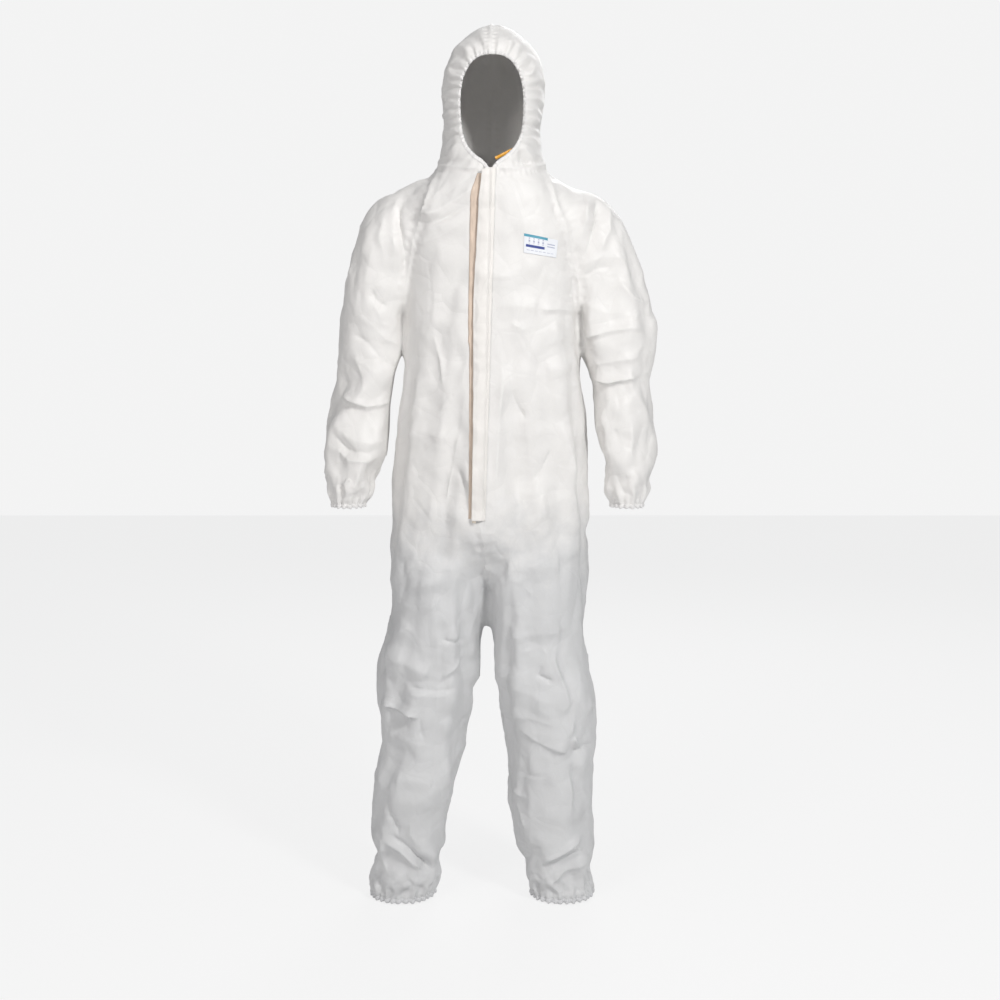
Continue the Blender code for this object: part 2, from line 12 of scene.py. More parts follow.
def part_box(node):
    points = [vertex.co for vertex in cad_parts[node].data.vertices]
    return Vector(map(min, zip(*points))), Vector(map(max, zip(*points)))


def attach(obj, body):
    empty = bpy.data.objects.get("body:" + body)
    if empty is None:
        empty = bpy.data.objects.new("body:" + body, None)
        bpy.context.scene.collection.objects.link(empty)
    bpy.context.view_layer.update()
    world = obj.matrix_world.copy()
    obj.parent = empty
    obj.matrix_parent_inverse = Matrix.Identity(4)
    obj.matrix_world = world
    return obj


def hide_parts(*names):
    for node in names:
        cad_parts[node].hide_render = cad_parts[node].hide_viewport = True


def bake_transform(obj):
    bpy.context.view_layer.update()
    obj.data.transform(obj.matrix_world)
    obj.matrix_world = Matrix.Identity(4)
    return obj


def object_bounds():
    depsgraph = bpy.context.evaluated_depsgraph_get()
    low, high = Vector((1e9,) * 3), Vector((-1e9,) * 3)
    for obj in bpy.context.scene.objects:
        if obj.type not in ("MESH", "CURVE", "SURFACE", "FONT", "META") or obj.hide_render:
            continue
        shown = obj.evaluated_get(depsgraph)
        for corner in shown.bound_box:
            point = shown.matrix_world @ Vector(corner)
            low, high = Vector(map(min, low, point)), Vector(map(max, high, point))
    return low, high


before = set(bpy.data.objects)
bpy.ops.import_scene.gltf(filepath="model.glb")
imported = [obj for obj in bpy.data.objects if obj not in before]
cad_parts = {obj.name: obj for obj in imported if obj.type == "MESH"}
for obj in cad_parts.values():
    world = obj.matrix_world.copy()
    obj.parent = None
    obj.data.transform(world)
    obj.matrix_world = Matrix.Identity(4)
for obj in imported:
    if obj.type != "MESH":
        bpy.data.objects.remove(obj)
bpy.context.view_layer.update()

NECK = 1.480           # tables below are heights above the hem datum
HEM_Z, CUFF_Z = 0.030, 0.842
SIDE_Y = 0.004
ELBOW_Z, KNEE_Z = 1.060, 0.420
NECK_FRONT, NECK_BACK = (-0.128, 1.492), (0.085, 1.525)
ZIP_BOTTOM, ZIP_TOP = (-0.0262, 0.830), (-0.0062, 1.486)
FLAP_FREE, FLAP_HINGE = -0.0185, 0.0140
SEED = 7


def front_y(z):
    return -0.150 + (z - 0.80) * 0.0317


TORSO = [
    (0.690, -0.008, 0.020, -0.030, 0.040, 2.0),
    (0.712, -0.008, 0.070, -0.066, 0.074, 2.0),
    (0.738, -0.008, 0.128, -0.103, 0.104, 2.1),
    (0.765, -0.006, 0.180, -0.133, 0.126, 2.3),
    (0.800, -0.002, 0.203, front_y(0.80), 0.136, 2.5),
    (0.880, 0.000, 0.2055, front_y(0.88), 0.140, 2.6),
    (0.965, 0.000, 0.2010, front_y(0.965), 0.130, 2.6),
    (1.040, 0.000, 0.1960, front_y(1.04), 0.132, 2.6),
    (1.120, 0.000, 0.1820, front_y(1.12), 0.136, 2.6),
    (1.220, 0.000, 0.1760, front_y(1.22), 0.138, 2.6),
    (1.320, 0.000, 0.1800, front_y(1.32), 0.138, 2.6),
    (1.390, 0.000, 0.1860, front_y(1.39), 0.134, 2.6),
    (1.430, 0.000, 0.1700, front_y(1.43), 0.124, 2.5),
    (1.462, 0.000, 0.1400, front_y(1.462), 0.108, 2.4),
    (1.486, 0.000, 0.1160, front_y(1.486), 0.095, 2.3),
    (1.510, 0.000, 0.1040, -0.1255, 0.088, 2.2),
    (1.550, 0.000, 0.0955, -0.1230, 0.100, 2.2),
    (1.590, 0.002, 0.0955, -0.1205, 0.120, 2.2),
    (1.630, 0.004, 0.1005, -0.1170, 0.134, 2.2),
    (1.660, 0.004, 0.1020, -0.1140, 0.140, 2.2),
    (1.695, 0.004, 0.0960, -0.1080, 0.136, 2.15),
    (1.730, 0.004, 0.0790, -0.0920, 0.116, 2.1),
    (1.757, 0.004, 0.0500, -0.0620, 0.085, 2.0),
    (1.774, 0.004, 0.0200, -0.0220, 0.045, 2.0),
]
LEGS = {
    "right": [
        (0.880, -0.098, -0.004, 0.085, 0.112), (0.800, -0.106, -0.004, 0.099, 0.124), (0.760, -0.111, -0.004, 0.1000, 0.127),
        (0.700, -0.1135, -0.004, 0.1005, 0.123), (0.640, -0.1115, -0.003, 0.0960, 0.117), (0.580, -0.1180, -0.002, 0.0995, 0.112),
        (0.520, -0.1290, -0.002, 0.1060, 0.107), (0.460, -0.1370, -0.002, 0.1015, 0.101), (0.400, -0.1400, 0.000, 0.0940, 0.096),
        (0.330, -0.1460, 0.003, 0.0880, 0.093), (0.260, -0.1600, 0.006, 0.0870, 0.090), (0.180, -0.1715, 0.008, 0.0790, 0.086),
        (0.110, -0.1757, 0.008, 0.0765, 0.084), (0.070, -0.1810, 0.006, 0.0745, 0.080), (0.045, -0.1843, 0.005, 0.0705, 0.075),
        (HEM_Z - 0.01, -0.1860, 0.005, 0.0640, 0.067)],
    "left": [
        (0.880, 0.090, -0.004, 0.083, 0.112), (0.800, 0.098, -0.004, 0.097, 0.124), (0.760, 0.1000, -0.004, 0.1010, 0.127),
        (0.700, 0.0995, -0.004, 0.1005, 0.123), (0.640, 0.0945, -0.003, 0.0950, 0.117), (0.580, 0.0928, -0.002, 0.0922, 0.112),
        (0.520, 0.0985, -0.002, 0.0935, 0.107), (0.460, 0.1120, -0.002, 0.0960, 0.101), (0.400, 0.1190, 0.000, 0.0950, 0.096),
        (0.330, 0.1210, 0.003, 0.0880, 0.093), (0.260, 0.1175, 0.006, 0.0890, 0.090), (0.180, 0.1220, 0.008, 0.0865, 0.086),
        (0.110, 0.1305, 0.008, 0.0785, 0.084), (0.070, 0.1375, 0.006, 0.0725, 0.080), (0.045, 0.1430, 0.005, 0.0695, 0.075),
        (HEM_Z - 0.01, 0.1440, 0.005, 0.0630, 0.067)],
}
SLEEVES = {
    "right": [
        (-0.050, 0.000, 1.395, 0.060, 0.085), (-0.128, 0.000, 1.372, 0.077, 0.092), (-0.195, 0.000, 1.325, 0.079, 0.090),
        (-0.2345, 0.000, 1.250, 0.065, 0.083), (-0.2490, -0.001, 1.165, 0.0600, 0.075), (-0.2580, -0.003, 1.095, 0.0560, 0.070),
        (-0.2645, -0.006, 1.045, 0.0590, 0.068), (-0.2705, -0.013, 0.985, 0.0645, 0.069), (-0.2770, -0.022, 0.930, 0.0620, 0.066),
        (-0.2825, -0.030, 0.885, 0.0540, 0.060), (-0.2865, -0.035, 0.858, 0.0430, 0.049), (-0.2885, -0.037, CUFF_Z, 0.0320, 0.0375),
        (-0.2885, -0.037, CUFF_Z - 0.012, 0.0300, 0.0355)],
    "left": [
        (0.050, 0.000, 1.395, 0.060, 0.085), (0.128, 0.000, 1.372, 0.077, 0.092), (0.195, 0.000, 1.325, 0.080, 0.090),
        (0.2380, 0.000, 1.250, 0.068, 0.083), (0.2560, -0.001, 1.165, 0.0680, 0.077), (0.2600, -0.003, 1.110, 0.0610, 0.072),
        (0.2650, -0.006, 1.065, 0.0545, 0.067), (0.2710, -0.013, 1.005, 0.0550, 0.066), (0.2770, -0.022, 0.945, 0.0540, 0.064),
        (0.2740, -0.030, 0.895, 0.0490, 0.058), (0.2690, -0.035, 0.862, 0.0410, 0.048), (0.2690, -0.037, CUFF_Z, 0.0320, 0.0375),
        (0.2690, -0.037, CUFF_Z - 0.012, 0.0300, 0.0355)],
}
FACE = [(0.0, 1.478), (0.016, 1.500), (0.034, 1.514), (0.049, 1.534), (0.057, 1.562), (0.0605, 1.598), (0.0600, 1.634),
        (0.0540, 1.664), (0.0405, 1.688), (0.0215, 1.701), (0.0, 1.704)]
FACE_X = -0.002


ARM_LINE_Z = [0.78, 0.90, 0.99, 1.04, 1.11, 1.165, 1.215, 1.262, 1.50]
ARM_LINE_X = [0.2095, 0.2095, 0.2035, 0.2010, 0.1905, 0.1830, 0.1815, 0.1800, 0.1035]


# ------------------------------------------------------------------ small tools
def dense(table, step_index, step):
    """The table's rows resampled on a smooth curve, about one every step along column step_index's path."""
    p = np.array(table, float)
    out = []
    for i in range(len(p) - 1):
        p0, p1, p2, p3 = p[max(i - 1, 0)], p[i], p[i + 1], p[min(i + 2, len(p) - 1)]
        n = max(1, int(round(np.linalg.norm((p2 - p1)[step_index]) / step)))
        for k in range(n):
            f = k / n
            out.append(0.5 * (2 * p1 + (p2 - p0) * f + (2 * p0 - 5 * p1 + 4 * p2 - p3) * f * f
                              + (3 * p1 - p0 - 3 * p2 + p3) * f ** 3))
    out.append(p[-1])
    return np.array(out)


def mesh_object(name, verts, faces):
    me = bpy.data.meshes.new(name)
    me.from_pydata([tuple(v) for v in verts], [], faces)
    me.update()
    o = bpy.data.objects.new(name, me)
    bpy.context.scene.collection.objects.link(o)
    return o


def coords(me):
    a = np.empty(len(me.vertices) * 3)
    me.vertices.foreach_get("co", a)
    return a.reshape(-1, 3)


def set_coords(me, a):
    me.vertices.foreach_set("co", np.ascontiguousarray(a, np.float32).ravel())
    me.update()


def evaluated_mesh(o):
    bpy.context.view_layer.update()
    graph = bpy.context.evaluated_depsgraph_get()
    return bpy.data.meshes.new_from_object(o.evaluated_get(graph))


def vertex_normals(me, co):
    set_coords(me, co)
    n = np.empty(len(me.vertices) * 3, np.float32)
    me.vertex_normals.foreach_get("vector", n)
    return n.reshape(-1, 3).astype(float)


def smoothstep(a, b, x):
    t = np.clip((x - a) / (b - a), 0, 1)
    return t * t * (3 - 2 * t)


def bell(x, c, w):
    return np.exp(-((x - c) / w) ** 2)


def field(co, scale, seed=0.0, octaves=1):
    """Smooth noise in -1..1 at each point."""
    return np.array([noise.fractal(Vector(p) / scale + Vector((seed, seed * 1.7, -seed)), 0.6, 2.0, octaves)
                     if octaves > 1 else noise.noise(Vector(p) / scale + Vector((seed, seed * 1.7, -seed))) for p in co])


# ------------------------------------------------------------------ the garment's smooth base
def loft_rings(rings):
    n = len(rings[0])
    verts = [p for ring in rings for p in ring]
    faces = []
    for r in range(len(rings) - 1):
        for i in range(n):
            j = (i + 1) % n
            faces.append((r * n + i, r * n + j, (r + 1) * n + j, (r + 1) * n + i))
    faces.append(tuple(range(n))[::-1])
    faces.append(tuple(range((len(rings) - 1) * n, len(rings) * n)))
    return verts, faces


def stand_off(z):
    """How far the sleeves are held away from the body while the cloth is meshed."""
    return 0.018 * (1 - smoothstep(1.085, 1.165, z))


def base_parts():
    parts = []
    rings = []
    for z, cx, a, yf, yb, n in dense(TORSO, slice(0, 1), 0.012):
        mid = (yf + yb) / 2 + 0.008
        ring = []
        for i in range(72):
            t = 2 * math.pi * i / 72
            c, s = math.cos(t), math.sin(t)
            depth = (mid - yf) if s < 0 else (yb - mid)
            ring.append((cx + a * math.copysign(abs(c) ** (2 / n), c), mid + depth * math.copysign(abs(s) ** (2 / n), s), z))
        rings.append(ring)
    parts.append(loft_rings(rings))
    for side in ("right", "left"):
        rings = [[(cx + rx * math.cos(t), cy + ry * math.sin(t), z) for t in (2 * math.pi * i / 56 for i in range(56))]
                 for z, cx, cy, rx, ry in dense(LEGS[side], slice(0, 1), 0.012)]
        parts.append(loft_rings(rings))
        rows = dense(SLEEVES[side], slice(0, 3), 0.012)
        rings = []
        for k, (x, y, z, r1, r2) in enumerate(rows):
            a, b = rows[max(k - 1, 0)], rows[min(k + 1, len(rows) - 1)]
            along = Vector((b[0] - a[0], 0, b[2] - a[2])).normalized()
            across = Vector((along.z, 0, -along.x))
            away = math.copysign(float(stand_off(z)), x)
            rings.append([tuple(Vector((x + away, y, z)) + across * (r1 * math.cos(t)) + Vector((0, r2 * math.sin(t), 0)))
                          for t in (2 * math.pi * i / 48 for i in range(48))])
        parts.append(loft_rings(rings))
    return parts


def build_base(voxel):
    verts, faces = [], []
    for v, f in base_parts():
        k = len(verts)
        verts += v
        faces += [tuple(i + k for i in q) for q in f]
    o = mesh_object("base", verts, faces)
    bm = bmesh.new()
    bm.from_mesh(o.data)
    # each loft on its own, so that recalculating finds every outside
    bmesh.ops.recalc_face_normals(bm, faces=bm.faces)
    bm.to_mesh(o.data)
    bm.free()
    m = o.modifiers.new("remesh", "REMESH")
    m.mode = "VOXEL"
    m.voxel_size = voxel
    me = evaluated_mesh(o)
    bpy.data.objects.remove(o, do_unlink=True)
    o = bpy.data.objects.new("garment", me)
    bpy.context.scene.collection.objects.link(o)
    # relax the steps where the lofts meet
    co = coords(me)
    edge = np.interp(co[:, 2], ARM_LINE_Z, ARM_LINE_X)
    away = stand_off(co[:, 2])
    arm = (np.abs(co[:, 0]) > edge + away * 0.5) & (co[:, 2] > 0.80) & (co[:, 2] < 1.50)
    e = np.empty(len(me.edges) * 2, np.int32)
    me.edges.foreach_get("vertices", e)
    e = e.reshape(-1, 2)
    deg = np.bincount(e.ravel(), minlength=len(co))[:, None]
    for it in range(14):
        s = np.zeros_like(co)
        np.add.at(s, e[:, 0], co[e[:, 1]])
        np.add.at(s, e[:, 1], co[e[:, 0]])
        mean = s / deg
        co = co + (mean - co) * (0.55 if it % 2 == 0 else -0.53)
    co[arm, 0] -= np.sign(co[arm, 0]) * away[arm]
    set_coords(me, co)
    return o


def in_arm(co):
    """1 on the sleeves, 0 on the body."""
    x, z = np.abs(co[:, 0]), co[:, 2]
    line = np.interp(z, ARM_LINE_Z, ARM_LINE_X)
    return (x > line) & (z > 0.80) & (z < 1.50)


def limb_centre(co, arm):
    """The x of the limb's or trunk's middle at each point's height."""
    z = co[:, 2]
    right, left = np.array(LEGS["right"])[::-1], np.array(LEGS["left"])[::-1]
    cx = np.where(co[:, 0] < 0, np.interp(z, right[:, 0], right[:, 1]), np.interp(z, left[:, 0], left[:, 1]))
    cx *= 1 - smoothstep(0.66, 0.80, z)
    for side, s in (("right", -1), ("left", 1)):
        t = np.array(SLEEVES[side])[::-1]
        here = arm & (np.sign(co[:, 0]) == s)
        cx[here] = np.interp(z[here], t[:, 2], t[:, 0])
    return cx


def simulate(o):
    """The garment's cloth, cut a little longer and wider than the wearer, so that it buckles and settles."""
    me = o.data
    co = coords(me)
    z = co[:, 2]
    arm = in_arm(co)
    # lengthwise surplus: share of extra cloth at each height
    zs = np.linspace(-0.05, 1.85, 400)
    body = (0.035 + 0.10 * bell(zs, 0.70, 0.05) + 0.06 * bell(zs, 0.58, 0.06) + 0.13 * bell(zs, 0.40, 0.08)
            + 0.05 * bell(zs, 0.24, 0.06) + 0.12 * bell(zs, 0.07, 0.040) + 0.05 * bell(zs, 0.97, 0.05) + 0.02 * bell(zs, 1.25, 0.1))
    body *= np.where(zs > 1.42, 0.3, 1.0)
    arms = np.where(zs > 1.28, body, 0.03 + 0.12 * bell(zs, 1.06, 0.055) + 0.03 * bell(zs, 1.20, 0.05) + 0.07 * bell(zs, 0.95, 0.05)
                    + 0.20 * bell(zs, 0.870, 0.022))
    fb = np.concatenate([[0], np.cumsum((1 + body)[1:] * np.diff(zs))])
    fa = np.concatenate([[0], np.cumsum((1 + arms)[1:] * np.diff(zs))])
    fb -= np.interp(1.50, zs, fb) - 1.50
    fa -= np.interp(1.50, zs, fa) - 1.50
    rest = co.copy()
    rest[:, 2] = np.where(arm, np.interp(z, zs, fa), np.interp(z, zs, fb))
    cx = limb_centre(co, arm)
    wide = np.where(arm, 0.05 * (1 - smoothstep(1.18, 1.30, z)), 0.035 * (1 - smoothstep(1.30, 1.42, z)))
    rest[:, 0] = cx + (co[:, 0] - cx) * (1 + wide)
    rest[:, 1] = co[:, 1] * (1 + wide)
    o.shape_key_add(name="Basis")
    key = o.shape_key_add(name="cut")
    key.data.foreach_set("co", rest.ravel())
    key.value = 0.0
    # how firmly each point keeps its place
    w = np.full(len(co), 0.10)
    w = np.maximum(w, 0.55 * smoothstep(1.30, 1.44, z))
    w = np.maximum(w, 0.35 * smoothstep(1.52, 1.60, z))
    zipx = np.interp(z, [ZIP_BOTTOM[1], ZIP_TOP[1]], [ZIP_BOTTOM[0], ZIP_TOP[0]])
    near_zip = (co[:, 1] < -0.05) & (z > 0.78) & (z < 1.50)
    w = np.maximum(w, np.where(near_zip, 0.995 * (1 - smoothstep(0.018, 0.055, np.abs(co[:, 0] - zipx))), 0))
    w = np.maximum(w, np.where(~arm & (z < 0.3), 0.995 * (1 - smoothstep(HEM_Z + 0.004, HEM_Z + 0.022, z)), 0))
    w = np.maximum(w, np.where(arm, 0.995 * (1 - smoothstep(CUFF_Z + 0.003, CUFF_Z + 0.018, z)), 0))
    d, _, front = face_distance(co)
    w = np.maximum(w, np.where(front, 0.995 * (1 - smoothstep(0.004, 0.030, d)), 0))
    g = o.vertex_groups.new(name="hold")
    level = np.round(w * 200).astype(int)
    for k in np.unique(level):
        g.add([int(i) for i in np.nonzero(level == k)[0]], float(k) / 200, "REPLACE")
    m = o.modifiers.new("cloth", "CLOTH")
    s = m.settings
    s.quality = 6
    s.mass = 0.12
    s.tension_stiffness = s.compression_stiffness = 30
    s.shear_stiffness = 12
    s.bending_stiffness = 1.2
    s.tension_damping = s.compression_damping = 8
    s.shear_damping = 8
    s.bending_damping = 0.8
    s.air_damping = 2.0
    s.vertex_group_mass = "hold"
    s.pin_stiffness = 1.0
    s.rest_shape_key = key
    m.collision_settings.use_collision = False
    m.collision_settings.use_self_collision = False
    scene = bpy.context.scene
    frames = 45
    m.point_cache.frame_start, m.point_cache.frame_end = 1, frames
    scene.frame_start, scene.frame_end = 1, frames
    # a small push, so that the folds start unevenly
    n = vertex_normals(me, co)
    push = field(co, 0.055, 3.1) * 0.0035 * (1 - w)
    basis = me.shape_keys.key_blocks["Basis"]
    basis.data.foreach_set("co", (co + n * push[:, None]).ravel())
    for f in range(1, frames + 1):
        scene.frame_set(f)
    made = evaluated_mesh(o)
    out = coords(made)
    bpy.data.meshes.remove(made)
    o.modifiers.clear()
    o.shape_key_clear()
    scene.frame_set(1)
    set_coords(me, co)
    # keep the long folds that it found, and less of its short even ripples
    e = np.empty(len(me.edges) * 2, np.int32)
    me.edges.foreach_get("vertices", e)
    e = e.reshape(-1, 2)
    deg = np.bincount(e.ravel(), minlength=len(co))[:, None]
    move = out - co
    long = move.copy()
    for _ in range(12):
        total = np.zeros_like(long)
        np.add.at(total, e[:, 0], long[e[:, 1]])
        np.add.at(total, e[:, 1], long[e[:, 0]])
        long = 0.4 * long + 0.6 * total / deg
    return co + 0.30 * move + 0.70 * long


def face_outline(count=240):
    half = FACE
    whole = half + [(-x, z) for x, z in reversed(half[1:-1])]
    p = np.array(whole, float)
    n = len(p)
    out = []
    for k in range(count):
        u = k / count * n
        i, f = int(u), u - int(u)
        p0, p1, p2, p3 = p[(i - 1) % n], p[i % n], p[(i + 1) % n], p[(i + 2) % n]
        if i in (0,):
            p0 = p1 - (p2 - p1)
        if i == n - 1:
            p3 = p2 + (p2 - p1)
        out.append(0.5 * (2 * p1 + (p2 - p0) * f + (2 * p0 - 5 * p1 + 4 * p2 - p3) * f * f + (3 * p1 - p0 - 3 * p2 + p3) * f ** 3))
    out = np.array(out)
    out[:, 0] += FACE_X
    return out


OUTLINE = face_outline()
OUTLINE[:, 1] = np.where(OUTLINE[:, 1] > 1.60, 1.60 + (OUTLINE[:, 1] - 1.60) * 1.085, OUTLINE[:, 1])
OUTLINE[:, 0] = FACE_X + (OUTLINE[:, 0] - FACE_X) * (1 + 0.09 * np.clip((OUTLINE[:, 1] - 1.50) / 0.06, 0, 1)) + 0.0025 * np.clip((OUTLINE[:, 1] - 1.50) / 0.06, 0, 1)
OUT_LEN = np.concatenate([[0], np.cumsum(np.linalg.norm(np.roll(OUTLINE, -1, 0) - OUTLINE, axis=1))])


def face_distance(co):
    """Signed distance from the face opening's edge (+ on the fabric), arc length along it, and whether the point is on the hood's front."""
    front = (co[:, 1] < 0.0) & (co[:, 2] > 1.40) & (co[:, 2] < 1.79) & (np.abs(co[:, 0]) < 0.13)
    d = np.full(len(co), 1.0)
    s = np.zeros(len(co))
    idx = np.nonzero(front)[0]
    q = co[idx][:, [0, 2]]
    a, b = OUTLINE, np.roll(OUTLINE, -1, 0)
    best = np.full(len(q), 9.0)
    arc = np.zeros(len(q))
    inside = np.zeros(len(q), bool)
    for k in range(len(a)):
        ab = b[k] - a[k]
        t = np.clip(((q - a[k]) @ ab) / (ab @ ab), 0, 1)
        r = np.linalg.norm(q - a[k] - t[:, None] * ab, axis=1)
        m = r < best
        best[m] = r[m]
        arc[m] = OUT_LEN[k] + t[m] * (OUT_LEN[k + 1] - OUT_LEN[k])
        crosses = (a[k][1] > q[:, 1]) != (b[k][1] > q[:, 1])
        with np.errstate(divide="ignore", invalid="ignore"):
            xi = a[k][0] + (q[:, 1] - a[k][1]) / (b[k][1] - a[k][1]) * ab[0]
        inside ^= crosses & (q[:, 0] < xi)
    d[idx] = np.where(inside, -best, best)
    s[idx] = arc
    return d, s, front




